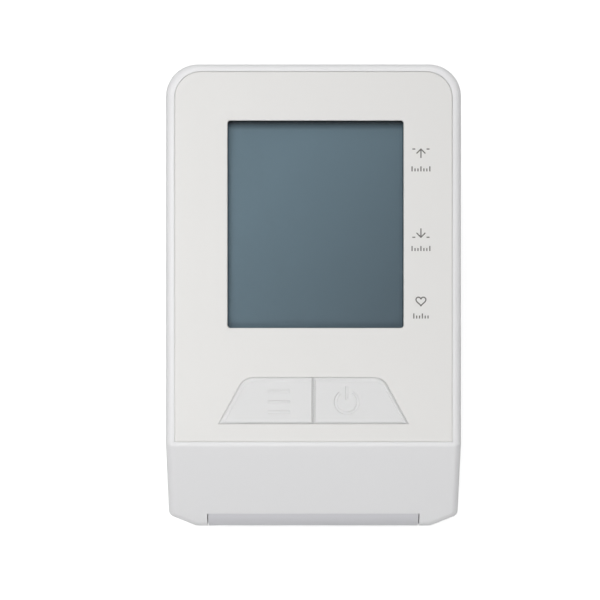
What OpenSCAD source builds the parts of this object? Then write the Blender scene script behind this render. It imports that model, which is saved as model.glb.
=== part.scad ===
// Desktop console of an upper-arm blood pressure monitor.
// Millimetres, +Z up, front towards -Y. The origin is under the middle of the
// console, on the plane that its feet stand on.
// The panel has its own frame: X across, Y up the slope from the crease, Z out of the panel.

/* [Housing] */
// Width of the housing over its sides
body_w = 100; // [98:0.5:104]
// Length of the sloping panel, from the crease to its rear edge
panel_len = 129; // [127:0.5:134]
// Slope of the panel
panel_tilt = 14; // [12:0.5:15]
// Turn of the apron below the crease
apron_turn = 25; // [24:0.5:27]
// Reach of the apron in front of the crease, along the panel's slope
apron_reach = 28.5; // [27.8:0.1:29.2]
// Reach of the apron's bevelled corners
corner_reach = 25.4; // [24.6:0.1:26.2]
// Width of the front edge between its bevelled corners
front_flat_w = 84.5; // [83:0.1:86]
// Radius of the front edge beside the battery door
front_roll_r = 3; // [2.8:0.1:3.4]
// Plan radius of the panel's rear corners
corner_r = 10.8; // [9.5:0.1:12]
// Radius of the housing's outer edges
edge_r = 2.4; // [2.2:0.1:2.7]
// Radius of the edges round the underside
base_r = 3; // [2.6:0.1:3.4]
// Lean of the sides towards the underside, in degrees
side_lean = 1.8; // [1.5:0.1:2.5]
// Thickness of the housing walls
wall = 2; // [1.8:0.1:2.1]
// Slope of the seam between the two halves
seam_tilt = 4; // [3:0.5:4.5]
// Height of that seam at the front
seam_front_z = 5.5; // [5.2:0.1:6]
// Width of the shadow gap at the seam
seam_gap = 0.3; // [0.2:0.05:0.4]
// Height of the tongue that keys the halves together
tongue_h = 1.2; // [0.8:0.1:1.6]

/* [Faceplate] */
// Width of the rim round the faceplate
rim_w = 2.95; // [2.9:0.05:3.3]
// Width of the lip between the faceplate and the crease
crease_lip = 1.15; // [0.9:0.05:1.3]
// Radius of the faceplate's rear corners
plate_corner_r = 8.8; // [7.5:0.1:9.5]
// Thickness of the faceplate
plate_t = 1.2; // [1:0.1:1.3]
// Gap between the faceplate and its recess
plate_gap = 0.25; // [0.15:0.05:0.35]
// Thickness of the panel wall under the faceplate
skin_t = 2.2; // [2:0.1:2.4]

/* [Display] */
// Width of the display opening
window_w = 59.5; // [57:0.5:60]
// Height of the display opening
window_h = 70.1; // [68:0.1:71]
// Middle of the display opening, right of the panel's middle
window_x = 0.7; // [0:0.1:1]
// Lower edge of the display opening, above the crease
window_s = 39.7; // [39:0.1:41]
// Radius of the opening's corners
window_r = 1; // [0.6:0.1:1.5]
// Width of the lens margin behind the faceplate
lens_lap = 2; // [1.6:0.1:2.3]
// Thickness of the display lens
lens_t = 1.2; // [1:0.1:1.3]
// Width of the liquid crystal cell past the opening
cell_lap = 3; // [2.6:0.1:3.3]
// Thickness of the liquid crystal cell
lcd_t = 2.4; // [2:0.1:2.6]
// Wall of the display holder
holder_wall = 1.6; // [1.4:0.1:1.7]

/* [Keys] */
// Lower edge of the keys, above the crease
key_s = 7.5; // [7:0.1:8.5]
// Height of the keys, up the slope
key_h = 15.65; // [14.5:0.05:16]
// Width of the pair of keys at its lower edge
keys_low_w = 63.7; // [60:0.1:64.5]
// Width of the pair of keys at its upper edge
keys_top_w = 47.5; // [44:0.1:49]
// Radius of the keys' upper corners
key_corner_r = 6; // [5:0.1:6.5]
// Gap between the two keys
key_split = 1; // [0.8:0.1:1.3]
// Gap round the keys
key_gap = 0.25; // [0.2:0.05:0.35]
// Height of the keys over the faceplate
key_rise = 0.45; // [0.4:0.05:0.6]
// Width of the bevel round the top of the keys
key_bevel = 1.6; // [1.2:0.1:1.8]
// Travel of a key
key_travel = 0.4; // [0.3:0.05:0.45]
// Width of the flange that keeps a key in
key_flange = 1; // [0.8:0.1:1.3]
// Side of a key's switch
switch_w = 6; // [5.5:0.1:6.5]
// Height of a switch body
switch_h = 2.2; // [2:0.1:2.3]
// Radius of a switch plunger
plunger_r = 1.7; // [1.5:0.05:1.8]

/* [Circuit board] */
// Depth of the board's upper face below the panel
board_depth = 8.5; // [8.3:0.05:8.7]
// Thickness of the board
board_t = 1.6; // [1.4:0.1:1.7]
// Width of the board
board_w = 77; // [75:0.5:77.5]
// Lower edge of the board, above the crease
board_s = 5; // [4.8:0.1:5.6]
// Length of the board
board_l = 117; // [116:0.5:118]
// Distance of the board screws from the board's edges
board_screw_in = 3.2; // [3:0.1:3.5]

/* [Batteries] */
// Diameter of a size AA cell
cell_d = 14.4; // [14:0.1:14.5]
// Length of a size AA cell
cell_l = 50.5; // [49.5:0.1:50.8]
// Length of a pressed contact spring
spring_l = 5; // [4.5:0.1:5.5]
// Thickness of the contact plates
contact_t = 0.4; // [0.3:0.05:0.5]
// Wall of the battery bay
bay_wall = 1.3; // [1.2:0.1:1.5]
// Clearance round the cells
cell_gap = 0.4; // [0.3:0.05:0.45]

/* [Battery door] */
// Width of the battery door
door_w = 72.1; // [71:0.1:73]
// Thickness of the battery door
door_t = 1.8; // [1.6:0.05:1.85]
// Radius of the door's rolled front
door_roll_r = 7.5; // [7.2:0.1:8]
// Height of the flat lip above the roll
door_lip = 0.1; // [0.05:0.05:0.4]
// How far the roll stands out in front of the housing's front edge
door_proud = 0.25; // [0.1:0.05:0.4]
// Gap round the door
door_gap = 0.3; // [0.25:0.05:0.4]

/* [Air parts] */
// Diameter of the pump motor
motor_d = 24; // [23:0.5:24.5]
// Length of the pump motor
motor_l = 28; // [27:0.5:29]
// Diameter of the pump head
head_d = 27; // [26:0.5:27.5]
// Length of the pump head
head_l = 20; // [19:0.5:20.5]
// Wall of the foam sleeve round the motor
sleeve_t = 2.4; // [2:0.1:2.6]
// Outer radius of the air hoses
hose_r = 2.9; // [2.7:0.05:3]
// Radius of the air nipples
nipple_r = 1.9; // [1.8:0.05:1.95]
// Bore radius of the air socket for the cuff's plug
port_bore_r = 2.75; // [2.5:0.05:2.9]
// Depth of that bore
port_bore_l = 11; // [10:0.5:11.5]
// Outer radius of the air socket
port_r = 4.6; // [4.4:0.1:4.8]

/* [Power inlet] */
// Radius of the inlet's barrel bore
jack_bore_r = 2.9; // [2.8:0.05:3]
// Radius of the inlet's centre pin
jack_pin_r = 1; // [0.9:0.05:1.1]
// Width of the inlet block
jack_w = 9; // [8.6:0.1:9.4]
// Height of the inlet block
jack_h = 11; // [10.6:0.1:11.2]
// Length of the inlet block
jack_l = 12.5; // [12:0.1:13]

/* [Fasteners and feet] */
// Radius of the case screw bosses
boss_r = 3.2; // [3:0.1:3.3]
// Radius of the case screws
screw_r = 1.3; // [1.2:0.05:1.4]
// Radius of the case screw heads
screw_head_r = 2.4; // [2.2:0.1:2.5]
// Radius of the board screws
board_screw_r = 1; // [0.9:0.05:1.1]
// Height that the feet lift the console
foot_h = 1.5; // [1.3:0.1:1.8]
// Radius of a foot
foot_r = 4.5; // [4:0.1:5]
// Depth of a foot's recess
foot_recess = 0.5; // [0.4:0.1:0.6]

/* [Hidden] */
$fn = 64;
eps = 0.01;

housing_white = "#e3e2e1";
plate_white = "#e8e6e2";

// The panel's frame and points on the section through the middle, as [y, z]
apron_slope = panel_tilt + apron_turn;
// Centre, in the panel's frame, of a roll of radius r that ends at the given reach
function roll_axis(reach, r) =
    [r - reach, ((r - reach) * sin(apron_turn) - r) / cos(apron_turn)];
function turned(p) = [
    p.x * cos(panel_tilt) - p.y * sin(panel_tilt),
    p.x * sin(panel_tilt) + p.y * cos(panel_tilt),
];
door_axis_slope = roll_axis(apron_reach + door_proud, door_roll_r);
front_axis_slope = roll_axis(apron_reach, front_roll_r);
corner_axis_slope = roll_axis(corner_reach, front_roll_r);
crease_z = foot_h + door_roll_r - turned(door_axis_slope).y;
front_run = front_roll_r - turned(front_axis_slope).x;
rear_run = turned([panel_len - edge_r, -edge_r]).x + edge_r;
crease_y = (front_run - rear_run) / 2;
front_y = crease_y - front_run;
rear_y = crease_y + rear_run;
// Point [y, z] at s up the slope and h out of the panel
function on_slope(s, h) = [crease_y, crease_z] + turned([s, h]);
door_axis = on_slope(door_axis_slope.x, door_axis_slope.y);
function panel_z(y) = crease_z + (y - crease_y) * tan(panel_tilt);
function seam_z(y) = seam_front_z + (y - front_y) * tan(seam_tilt);

floor_top = foot_h + wall;
toe_y = front_y + base_r + 2.3;
toe_corner_y = toe_y + apron_reach - corner_reach;
heel_y = rear_y - base_r - 1.6;
// Height of the line through the centres of the rim's round edges
function rim_z(y) = panel_z(y) - edge_r / cos(panel_tilt);
// Half width of the leaning sides at a point, for a surface that lies r outside those centres
function side_x(y, z, r) =
    body_w / 2 - edge_r + r / cos(side_lean) - (rim_z(y) - z) * tan(side_lean);
function inner_x(y, z) = side_x(y, z, edge_r - wall);
corner_axis = on_slope(corner_axis_slope.x, corner_axis_slope.y);

// Display stack, from the panel down
skin_low = plate_t + skin_t;
lens_ledge = plate_t + lens_t;
window_mid_s = window_s + window_h / 2;
lcd_w = window_w + 2 * cell_lap;
lcd_h = window_h + 2 * cell_lap;
holder_w = lcd_w + 2 * (holder_wall + 0.2);
holder_h = lcd_h + 2 * (holder_wall + 0.2);
board_low = board_depth + board_t;

// Keys
flange_t = 1;
flange_top = skin_low + 0.2;
stem_end = board_depth - switch_h - key_travel - 0.5;
key_mid_s = key_s + key_h / 2;
key_mid_x = keys_top_w / 4 + key_split / 4 + 1.2;

// Battery bay
cell_count = 4;
cell_pitch = cell_d + 0.1;
bay_in_w = cell_count * cell_pitch + cell_gap;
bay_in_l = cell_l + spring_l + 2 * contact_t;
bay_out_x = bay_in_w / 2 + bay_wall;
cell_z = foot_h + door_t + cell_gap + cell_d / 2;
bay_ceiling = cell_z + cell_d / 2 + cell_gap;
bay_top = bay_ceiling + bay_wall;
bay_front = crease_y - (crease_z - bay_top) / tan(apron_slope) + (wall + 1) / sin(apron_slope);
bay_y0 = bay_front + bay_wall;
bay_y1 = bay_y0 + bay_in_l;
bay_back = bay_y1 + bay_wall;

// Door runners, from the door's edge inwards
door_x = door_w / 2;
door_top = foot_h + door_t;
ledge_in = door_x - 1.2;
ledge_t = 1.1;
ledge_top = floor_top + ledge_t;
hook_gap = 0.3;
hook_t = 1.2;
hook_web_t = 1.2;
channel_out = door_x + 2;
channel_low = ledge_top + 2 * hook_gap + hook_t;
channel_t = 1.2;

// Air parts and pump, on the floor behind the battery bay
pump_y = bay_back + 15 + head_d;
pump_x1 = inner_x(pump_y, floor_top) - 2.2;
pump_x0 = pump_x1 - motor_l - head_l;
sleeve_r = motor_d / 2 + sleeve_t;
pump_z = floor_top + sleeve_r + 1.4;
port_face = -body_w / 2 + 0.4;
manifold = [port_face + port_bore_l + 18.6, bay_back + 17, 21];
manifold_r = 3.6;
manifold_nipple = 9;
valve_w = 14;
valve_l = 15;
valve_h = 17;
valve_y = pump_y + head_d / 2 + 0.5;
valve_nipple_z = floor_top + 6;
nipple_l = 6;
rest_gap = 0.05;
hose_bore = nipple_r + 0.22;
pump_nipple = [pump_x0 - nipple_l, pump_y, pump_z + 6];
port_y = manifold.y;
port_z = manifold.z;
port_pad_r = port_r + 2.2;
port_pad_x = 0.3 - inner_x(port_y, port_z - port_pad_r);
port_seal_t = 1;
sensor_x = manifold.x + 23;
sensor_s = 68;
sensor_w = 11;
sensor_t = 4;
sensor_tip_depth = sensor_t + 6;
jack_s = 100;
// Radius of the centre pin's root in the inlet block
jack_root_r = jack_pin_r + 0.3;
jack_mid = board_low + jack_h / 2;
jack_at = on_slope(jack_s, -jack_mid);
jack_face = inner_x(jack_at.x, jack_at.y - jack_h / 2) - 0.1;

// Screws and feet, as [x, y]
case_screw_in = 13;
boss_x = inner_x(rear_y - case_screw_in, floor_top) - boss_r - 0.2;
case_screw_at = [for (y = [crease_y, rear_y] + case_screw_in * [1, -1], x = [-boss_x, boss_x]) [x, y]];
boss_split_z = 14;
screw_seat_z = 10;
screw_l = 9;
board_head_r = board_screw_r + 1;
board_head_h = 1.3;
boss_clearance = 0.4;
// The board's screws, as [x, s]. The front ones stand behind the case bosses
board_screw_s = [
    (case_screw_in + boss_r + boss_clearance + board_head_r - board_low * sin(panel_tilt)) / cos(panel_tilt),
    board_s + board_l - board_screw_in,
];
board_screw_at = [for (s = board_screw_s, side = [-1, 1]) [side * (board_w / 2 - board_screw_in), s]];
foot_x = door_w / 2 + door_gap + foot_r + 0.4;
foot_at = [
    for (y = [toe_corner_y + 7, rear_y - case_screw_in - 2 * boss_r - 4], side = [-1, 1]) [side * foot_x, y]
];

// ---- Helpers ----

module on_panel() translate([0, crease_y, crease_z]) rotate([panel_tilt, 0, 0]) children();

// A section drawn as [y, z] and drawn out w along X, about the middle
module across(w) rotate([90, 0, 90]) linear_extrude(w, center = true) children();

// A cylinder along X from x0 to x1
module rod_x(x0, x1, r) translate([x0, 0, 0]) rotate([0, 90, 0]) cylinder(h = x1 - x0, r = r);

// A disc of radius flat_r with a round edge of radius r, or a ball where flat_r is 0
module rounded_disc(flat_r, r, sides = 32) rotate_extrude($fn = sides) intersection() {
    translate([flat_r, 0]) circle(r, $fn = 24);
    translate([0, -r]) square([flat_r + r, 2 * r]);
}

// A rounded rectangle about its middle
module rounded_rect(w, h, r) {
    square([w - 2 * r, h], center = true);
    square([w, h - 2 * r], center = true);
    for (x = [-1, 1], y = [-1, 1]) translate([x * (w / 2 - r), y * (h / 2 - r)]) circle(r);
}

// Everything below the seam, less the given gap
module below_seam(gap) {
    translate([0, front_y, seam_front_z]) rotate([seam_tilt, 0, 0])
        translate([-body_w, -body_w, -body_w - gap]) cube([2 * body_w, 4 * body_w, body_w]);
}

// Points of a smooth curve through the points of a route
function smooth_route(p, n) = [
    for (i = [0 : len(p) - 2], j = [0 : n - 1])
        let (t = j / n, a = p[max(i - 1, 0)], b = p[i], c = p[i + 1], d = p[min(i + 2, len(p) - 1)])
            (2 * b + (c - a) * t + (2 * a - 5 * b + 4 * c - d) * t * t
                + (3 * b - 3 * c + d - a) * t * t * t) / 2,
    p[len(p) - 1],
];

function heading(p, i) =
    let (d = p[min(i + 1, len(p) - 1)] - p[max(i - 1, 0)]) d / norm(d);

// Points of the rings of radius r along p; side_dir lies across the whole route
function rings(p, side_dir, r, sides) = [
    for (i = [0 : len(p) - 1])
        let (t = heading(p, i), u = cross(t, side_dir) / norm(cross(t, side_dir)), v = cross(t, u))
            for (k = [0 : sides - 1])
                p[i] + r * (cos(360 * k / sides) * u + sin(360 * k / sides) * v)
];

// A wire along a route
module wire(p, side_dir, r, sides) {
    n = len(p);
    at = function (i, k) i * sides + k % sides;
    polyhedron(
        rings(p, side_dir, r, sides),
        concat(
            [[for (k = [0 : sides - 1]) k]],
            [[for (k = [sides - 1 : -1 : 0]) at(n - 1, k)]],
            [for (i = [0 : n - 2], k = [0 : sides - 1]) [at(i, k), at(i + 1, k), at(i, k + 1)]],
            [for (i = [0 : n - 2], k = [0 : sides - 1]) [at(i + 1, k), at(i + 1, k + 1), at(i, k + 1)]]
        )
    );
}

// A hose along a route, with its bore
module hose(p, side_dir, sides = 12) {
    n = len(p);
    wall_of = function (w, i, k) (w * n + i) * sides + k % sides;
    ends = [for (w = [0 : 1], i = [0 : n - 2], k = [0 : sides - 1]) [w, i, k]];
    polyhedron(
        concat(rings(p, side_dir, hose_r, sides), rings(p, side_dir, hose_bore, sides)),
        concat(
            [for (e = ends) let (w = e.x, i = e.y, k = e.z) w == 0
                ? [wall_of(w, i, k), wall_of(w, i + 1, k), wall_of(w, i, k + 1)]
                : [wall_of(w, i, k + 1), wall_of(w, i + 1, k), wall_of(w, i, k)]],
            [for (e = ends) let (w = e.x, i = e.y, k = e.z) w == 0
                ? [wall_of(w, i + 1, k), wall_of(w, i + 1, k + 1), wall_of(w, i, k + 1)]
                : [wall_of(w, i, k + 1), wall_of(w, i + 1, k + 1), wall_of(w, i + 1, k)]],
            [for (k = [0 : sides - 1])
                [wall_of(0, 0, k), wall_of(0, 0, k + 1), wall_of(1, 0, k + 1), wall_of(1, 0, k)]],
            [for (k = [0 : sides - 1])
                [wall_of(0, n - 1, k + 1), wall_of(0, n - 1, k), wall_of(1, n - 1, k), wall_of(1, n - 1, k + 1)]]
        )
    );
}

// ---- Housing ----

module base_at(x, y) translate([x, y, foot_h + base_r]) children();

// The closed form of the housing, drawn in by the given inset
module body_form(inset) {
    hull() for (side = [-1, 1]) {
        on_panel() {
            translate([side * (body_w / 2 - corner_r), panel_len - corner_r, -edge_r])
                rounded_disc(corner_r - edge_r, edge_r - inset, 48);
            translate([side * (body_w / 2 - edge_r), edge_r * tan(apron_turn / 2), -edge_r])
                rounded_disc(0, edge_r - inset);
            translate([side * (front_flat_w / 2 - edge_r), front_axis_slope.x, front_axis_slope.y])
                rotate([0, 90, 0]) rounded_disc(front_roll_r - edge_r, edge_r - inset);
            translate([side * side_x(corner_axis.x, corner_axis.y, 0), corner_axis_slope.x, corner_axis_slope.y])
                rotate([0, 90, 0]) rounded_disc(front_roll_r - edge_r, edge_r - inset);
        }
        base_at(side * (front_flat_w / 2 - base_r), toe_y) rounded_disc(0, base_r - inset);
        for (y = [toe_corner_y, heel_y])
            base_at(side * side_x(y, foot_h + base_r, edge_r - base_r), y) rounded_disc(0, base_r - inset);
    }
}

// The faceplate's outline, or that of its recess when grown
module plate_outline(grow) {
    half_w = body_w / 2 - rim_w - plate_gap + grow;
    low = crease_lip + plate_gap - grow;
    high = panel_len - rim_w + 0.4 - plate_gap + grow;
    r = plate_corner_r + grow;
    translate([-half_w, low]) square([2 * half_w, high - low - r]);
    translate([-half_w + r, low]) square([2 * (half_w - r), high - low]);
    for (side = [-1, 1]) translate([side * (half_w - r), high - r]) circle(r);
}

// The outline of both keys together, grown by one amount at its lower edge and another at the rest
module keys_outline(grow, low_grow) {
    lean = (keys_low_w - keys_top_w) / 2 / key_h;
    slant = sqrt(1 + lean * lean);
    r = key_corner_r + grow;
    arc = [keys_top_w / 2 + lean * key_corner_r - key_corner_r * slant, key_s + key_h - key_corner_r];
    right = [
        [keys_low_w / 2 + lean * low_grow + grow * slant, key_s - low_grow],
        for (i = [0 : 6]) let (a = (1 - i / 6) * atan(lean) + i * 15) arc + r * [cos(a), sin(a)],
    ];
    polygon([each right, for (i = [7 : -1 : 0]) [-right[i].x, right[i].y]]);
}

module window_at() translate([window_x, window_mid_s]) children();

// The room that the battery door takes from the two halves
module door_room() {
    lip = on_slope(door_axis_slope.x, door_axis_slope.y)
        + door_roll_r * [-sin(apron_slope), cos(apron_slope)]
        + (door_lip + door_gap) * [cos(apron_slope), sin(apron_slope)];
    out = lip + 3 * [-sin(apron_slope), cos(apron_slope)];
    inn = lip - (wall + 1) * [-sin(apron_slope), cos(apron_slope)];
    across(door_w + 2 * door_gap) polygon([
        out, inn, [inn.x, floor_top + eps], [bay_y1 + door_gap, floor_top + eps],
        [bay_y1 + door_gap, -1], [front_y - 10, -1], [front_y - 10, out.y],
    ]);
}

module upper_housing() color(housing_white) difference() {
    union() {
        difference() {
            body_form(0);
            body_form(wall);
            below_seam(-seam_gap / 2);
            // Rebate for the tongue of the lower half
            intersection() {
                body_form(wall / 2);
                below_seam(-tongue_h - 0.2);
            }
            door_room();
        }
        // Panel wall under the faceplate
        on_panel() translate([0, 0, -skin_low]) linear_extrude(skin_t) plate_outline(1.2);
        // Flat pad round the air socket
        translate([0, port_y, port_z]) rod_x(1.2 - side_x(port_y, port_z - port_pad_r, edge_r), port_pad_x, port_pad_r);
        // Bosses for the case screws
        for (p = case_screw_at) translate([p.x, p.y, boss_split_z])
            cylinder(h = panel_z(p.y) - boss_split_z - plate_t - 1.3, r = boss_r);
        // Bosses for the board screws
        on_panel() for (p = board_screw_at) translate([p.x, p.y, -board_depth])
            cylinder(h = board_depth - skin_low + 1, r = board_screw_r + 1.2);
    }
    on_panel() {
        // Recess of the faceplate
        translate([0, 0, -plate_t]) linear_extrude(plate_t + 5) plate_outline(plate_gap);
        // Seat of the lens, and the opening behind it
        translate([0, 0, -lens_ledge]) linear_extrude(lens_t + 5) window_at()
            rounded_rect(window_w + 2 * lens_lap + 0.2, window_h + 2 * lens_lap + 0.2, window_r + 1);
        translate([0, 0, -skin_low - eps]) linear_extrude(skin_t) window_at()
            rounded_rect(window_w + 0.4, window_h + 0.4, window_r);
        translate([0, 0, -skin_low - 1]) linear_extrude(skin_t + 5) keys_outline(key_gap, key_gap);
        for (p = board_screw_at) translate([p.x, p.y, -board_depth - 1])
            cylinder(h = 5.5, r = board_screw_r - 0.1);
    }
    for (p = case_screw_at) translate([p.x, p.y, boss_split_z - 1])
        cylinder(h = screw_seat_z + screw_l - boss_split_z + 2.5, r = screw_r - 0.1);
    translate([0, port_y, port_z]) rod_x(-body_w, -body_w / 2 + 8, port_r + 0.05);
    translate([0, jack_at.x, jack_at.y]) rod_x(jack_face - 1, body_w, jack_bore_r + 0.6);
}

module lower_housing() color(housing_white) difference() {
    union() {
        difference() {
            intersection() {
                body_form(0);
                below_seam(seam_gap / 2);
            }
            body_form(wall);
            door_room();
        }
        // Tongue
        difference() {
            intersection() {
                body_form(wall / 2 + 0.12);
                below_seam(-tongue_h);
            }
            body_form(wall);
            below_seam(1.5);
            door_room();
            for (p = case_screw_at) translate([p.x, p.y, 0]) cylinder(h = body_w, r = boss_r + 0.2);
        }
        // Battery bay, open to the door below
        difference() {
            translate([-bay_out_x, bay_front, floor_top])
                cube([2 * bay_out_x, bay_back - bay_front, bay_top - floor_top]);
            translate([-bay_in_w / 2, bay_y0, 0]) cube([bay_in_w, bay_in_l, bay_ceiling]);
        }
        translate([-door_x, bay_y1 + door_gap, foot_h + eps])
            cube([2 * door_x, bay_wall - door_gap, wall]);
        // Runners of the door
        for (side = [0, 1]) mirror([side, 0, 0]) {
            translate([ledge_in, bay_front, floor_top])
                cube([channel_out + channel_t - ledge_in, bay_back - bay_front, ledge_t]);
            translate([channel_out, bay_front, floor_top])
                cube([channel_t, bay_back - bay_front, channel_low - floor_top + channel_t]);
            translate([bay_out_x - eps, bay_front, channel_low])
                cube([channel_out + channel_t - bay_out_x, bay_back - bay_front, channel_t]);
        }
        // Bosses for the case screws
        for (p = case_screw_at) translate([p.x, p.y, foot_h + eps])
            cylinder(h = boss_split_z - foot_h - eps, r = boss_r);
        // Cradle ribs under the pump
        for (x = [pump_x1 - motor_l + 6, pump_x1 - 8]) difference() {
            translate([x, pump_y - sleeve_r, floor_top - eps]) cube([2, 2 * sleeve_r, pump_z - floor_top - 5]);
            translate([0, pump_y, pump_z]) rod_x(x - 1, x + 3, sleeve_r + 0.05);
        }
        // Ribs beside the valve
        for (x = [manifold.x - valve_w / 2 - 1.6, manifold.x + valve_w / 2 + 0.1])
            translate([x, valve_y, floor_top - eps]) cube([1.5, valve_l, 8]);
    }
    for (p = case_screw_at) translate([p.x, p.y, -1]) {
        cylinder(h = body_w / 2, r = screw_r + 0.2);
        cylinder(h = screw_seat_z + 1, r = screw_head_r + 0.2);
    }
    for (p = foot_at) translate([p.x, p.y, -1]) cylinder(h = 1 + foot_h + foot_recess, r = foot_r + 0.1);
}

module faceplate() color(plate_white) on_panel() difference() {
    translate([0, 0, -plate_t]) linear_extrude(plate_t) plate_outline(0);
    translate([0, 0, -plate_t - 1]) linear_extrude(plate_t + 2) {
        window_at() rounded_rect(window_w, window_h, window_r);
        keys_outline(key_gap, key_gap);
    }
}

// ---- Display ----

module display_window() color("#9fb0ba", 0.4) on_panel() translate([0, 0, -lens_ledge])
    linear_extrude(lens_t) window_at()
        rounded_rect(window_w + 2 * lens_lap, window_h + 2 * lens_lap, window_r + 1);

module lcd_glass() color("#62737d") on_panel() translate([0, 0, -skin_low - lcd_t])
    linear_extrude(lcd_t) window_at() square([lcd_w, lcd_h], center = true);

module lcd_holder() color("#d8d8d6") on_panel() difference() {
    translate([0, 0, -board_depth]) linear_extrude(board_depth - skin_low) window_at()
        rounded_rect(holder_w, holder_h, 1.5);
    // Pocket of the glass, and the windows for the connectors below it
    translate([0, 0, -skin_low - lcd_t]) linear_extrude(lcd_t + 1) window_at()
        square([lcd_w + 0.3, lcd_h + 0.3], center = true);
    translate([0, 0, -board_depth - 1]) linear_extrude(board_depth) window_at() {
        for (side = [-1, 1]) translate([0, side * (lcd_h / 2 - 2)]) square([lcd_w - 4, 2.3], center = true);
        square([lcd_w - 12, lcd_h - 14], center = true);
    }
}

module lcd_connectors() color("#3a3a3c") on_panel() for (side = [-1, 1])
    translate([window_x, window_mid_s + side * (lcd_h / 2 - 2), -board_depth])
        linear_extrude(board_depth - skin_low - lcd_t) square([lcd_w - 6, 2], center = true);

// ---- Keys and switches ----

// One half of the keys' outline, drawn in along its top and its slanted side
module key_outline(side, draw_in) intersection() {
    keys_outline(-draw_in, 0);
    translate([side > 0 ? key_split / 2 : -body_w, key_s]) square([body_w - key_split / 2, key_h]);
}

module key_cap(side) color(housing_white) on_panel() {
    difference() {
        union() {
            translate([0, 0, -flange_top - eps]) linear_extrude(flange_top + eps)
                key_outline(side, 0);
            hull() {
                linear_extrude(eps) key_outline(side, 0);
                linear_extrude(key_rise) key_outline(side, key_bevel);
            }
        }
        // Hollow of the cap
        translate([0, 0, -flange_top - 1]) linear_extrude(flange_top + 1 - 1.4) intersection() {
            keys_outline(-1.5, -1.5);
            translate([side > 0 ? key_split / 2 + 1.3 : -body_w, key_s]) square([body_w - key_split / 2 - 1.3, key_h]);
        }
    }
    // Flange under the panel wall, and the post that presses the switch
    translate([0, 0, -flange_top - flange_t]) linear_extrude(flange_t) intersection() {
        keys_outline(key_flange, key_flange);
        translate([side > 0 ? key_split / 2 : -body_w, 0]) square([body_w - key_split / 2, window_s]);
    }
    translate([side * key_mid_x, key_mid_s, -stem_end]) cylinder(h = stem_end - 1.4 + eps, r = 2);
}

module memory_button() key_cap(-1);
module power_button() key_cap(1);

module switch_body(side) color("#2f3032") on_panel()
    translate([side * key_mid_x, key_mid_s, -board_depth]) difference() {
        linear_extrude(switch_h) square([switch_w, switch_w], center = true);
        translate([0, 0, switch_h - key_travel - 0.3]) cylinder(h = 1, r = plunger_r + 0.1);
    }

module switch_plunger(side) color("#b9bcbe") on_panel()
    translate([side * key_mid_x, key_mid_s, -board_depth + switch_h - 0.15])
        cylinder(h = board_depth - stem_end - switch_h + 0.15, r = plunger_r);

module memory_switch() switch_body(-1);
module power_switch() switch_body(1);
module memory_plunger() switch_plunger(-1);
module power_plunger() switch_plunger(1);

// ---- Circuit board ----

module main_board() color("#2f6b45") difference() {
    on_panel() difference() {
        translate([-board_w / 2, board_s, -board_low]) cube([board_w, board_l, board_t]);
        for (p = board_screw_at) translate([p.x, p.y, -board_low - 1])
            cylinder(h = board_t + 2, r = board_screw_r + 0.2);
    }
    // Notches, where the case bosses reach the board's edge
    for (p = case_screw_at) translate([p.x, p.y, 0]) cylinder(h = body_w, r = boss_r + boss_clearance);
}

// Places children on the underside of the board, pointing away from it
module under_board(x, s) on_panel() translate([x, s, -board_low]) mirror([0, 0, 1]) children();

// A chip with its rows of leads
module chip(w, l, t, leads) {
    translate([-w / 2, -l / 2, 0.1]) cube([w, l, t]);
    pitch = l / (leads + 1);
    for (i = [1 : leads]) translate([-w / 2 - 1, -l / 2 + i * pitch - 0.2, 0]) cube([w + 2, 0.4, 0.5]);
}

module microcontroller() color("#26272a") under_board(-14, board_s + 32) {
    chip(13, 13, 1.5, 8);
    rotate([0, 0, 90]) chip(13, 13, 1.5, 8);
}

module board_chips() color("#26272a") {
    under_board(12, board_s + 34) chip(4, 5, 1.4, 4);
    under_board(22, board_s + 46) chip(4, 9, 1.4, 7);
    under_board(-30, board_s + 50) chip(2.6, 3, 1, 3);
    under_board(-30, board_s + 62) chip(2.6, 3, 1, 3);
}

module board_capacitors() color("#8e959b") for (p = [[20, 66], [20, 75], [-2, 78]])
    under_board(p.x, board_s + p.y) {
        cylinder(h = 7, r = 3.1);
        translate([-3.3, -3.3, 0]) cube([6.6, 6.6, 1]);
    }

motor_plug = [31, board_s + 80];
valve_plug = [-31, board_s + 84];
battery_plug = [20, board_s + 26];
plug_h = 4;
plug_face = plug_h + 0.6;

module board_connectors() color("#e9e6da") for (p = [motor_plug, valve_plug, battery_plug])
    under_board(p.x, p.y) {
        translate([-4, -3.5, 0]) cube([8, 7, plug_h]);
        translate([-3.2, -2.7, plug_h - eps]) cube([6.4, 5.4, 0.6]);
    }

module buzzer() color("#26272a") under_board(-18, board_s + 66) difference() {
    cylinder(h = 5, r = 6);
    translate([0, 0, 4]) cylinder(h = 2, r = 1);
}

module pressure_sensor() color("#3b3d42") under_board(sensor_x, sensor_s) {
    translate([-sensor_w / 2, -sensor_w / 2, 0]) cube([sensor_w, sensor_w, sensor_t]);
    cylinder(h = sensor_t + 2, r = 3.4);
    cylinder(h = sensor_tip_depth, r = nipple_r);
}

module dc_jack() color("#232427") difference() {
    on_panel() translate([jack_face - jack_l, jack_s - jack_w / 2, -board_low - jack_h])
        cube([jack_l, jack_w, jack_h]);
    translate([0, jack_at.x, jack_at.y]) {
        rod_x(jack_face - 9.5, jack_face + 1, jack_bore_r);
        rod_x(jack_face - 11, jack_face - 9, jack_root_r);
    }
}

module jack_pin() color("#cfd1d3") translate([0, jack_at.x, jack_at.y]) {
    rod_x(jack_face - 11, jack_face - 9.5, jack_root_r);
    rod_x(jack_face - 9.5 - eps, jack_face - 0.6, jack_pin_r);
}

// ---- Air parts ----

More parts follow.
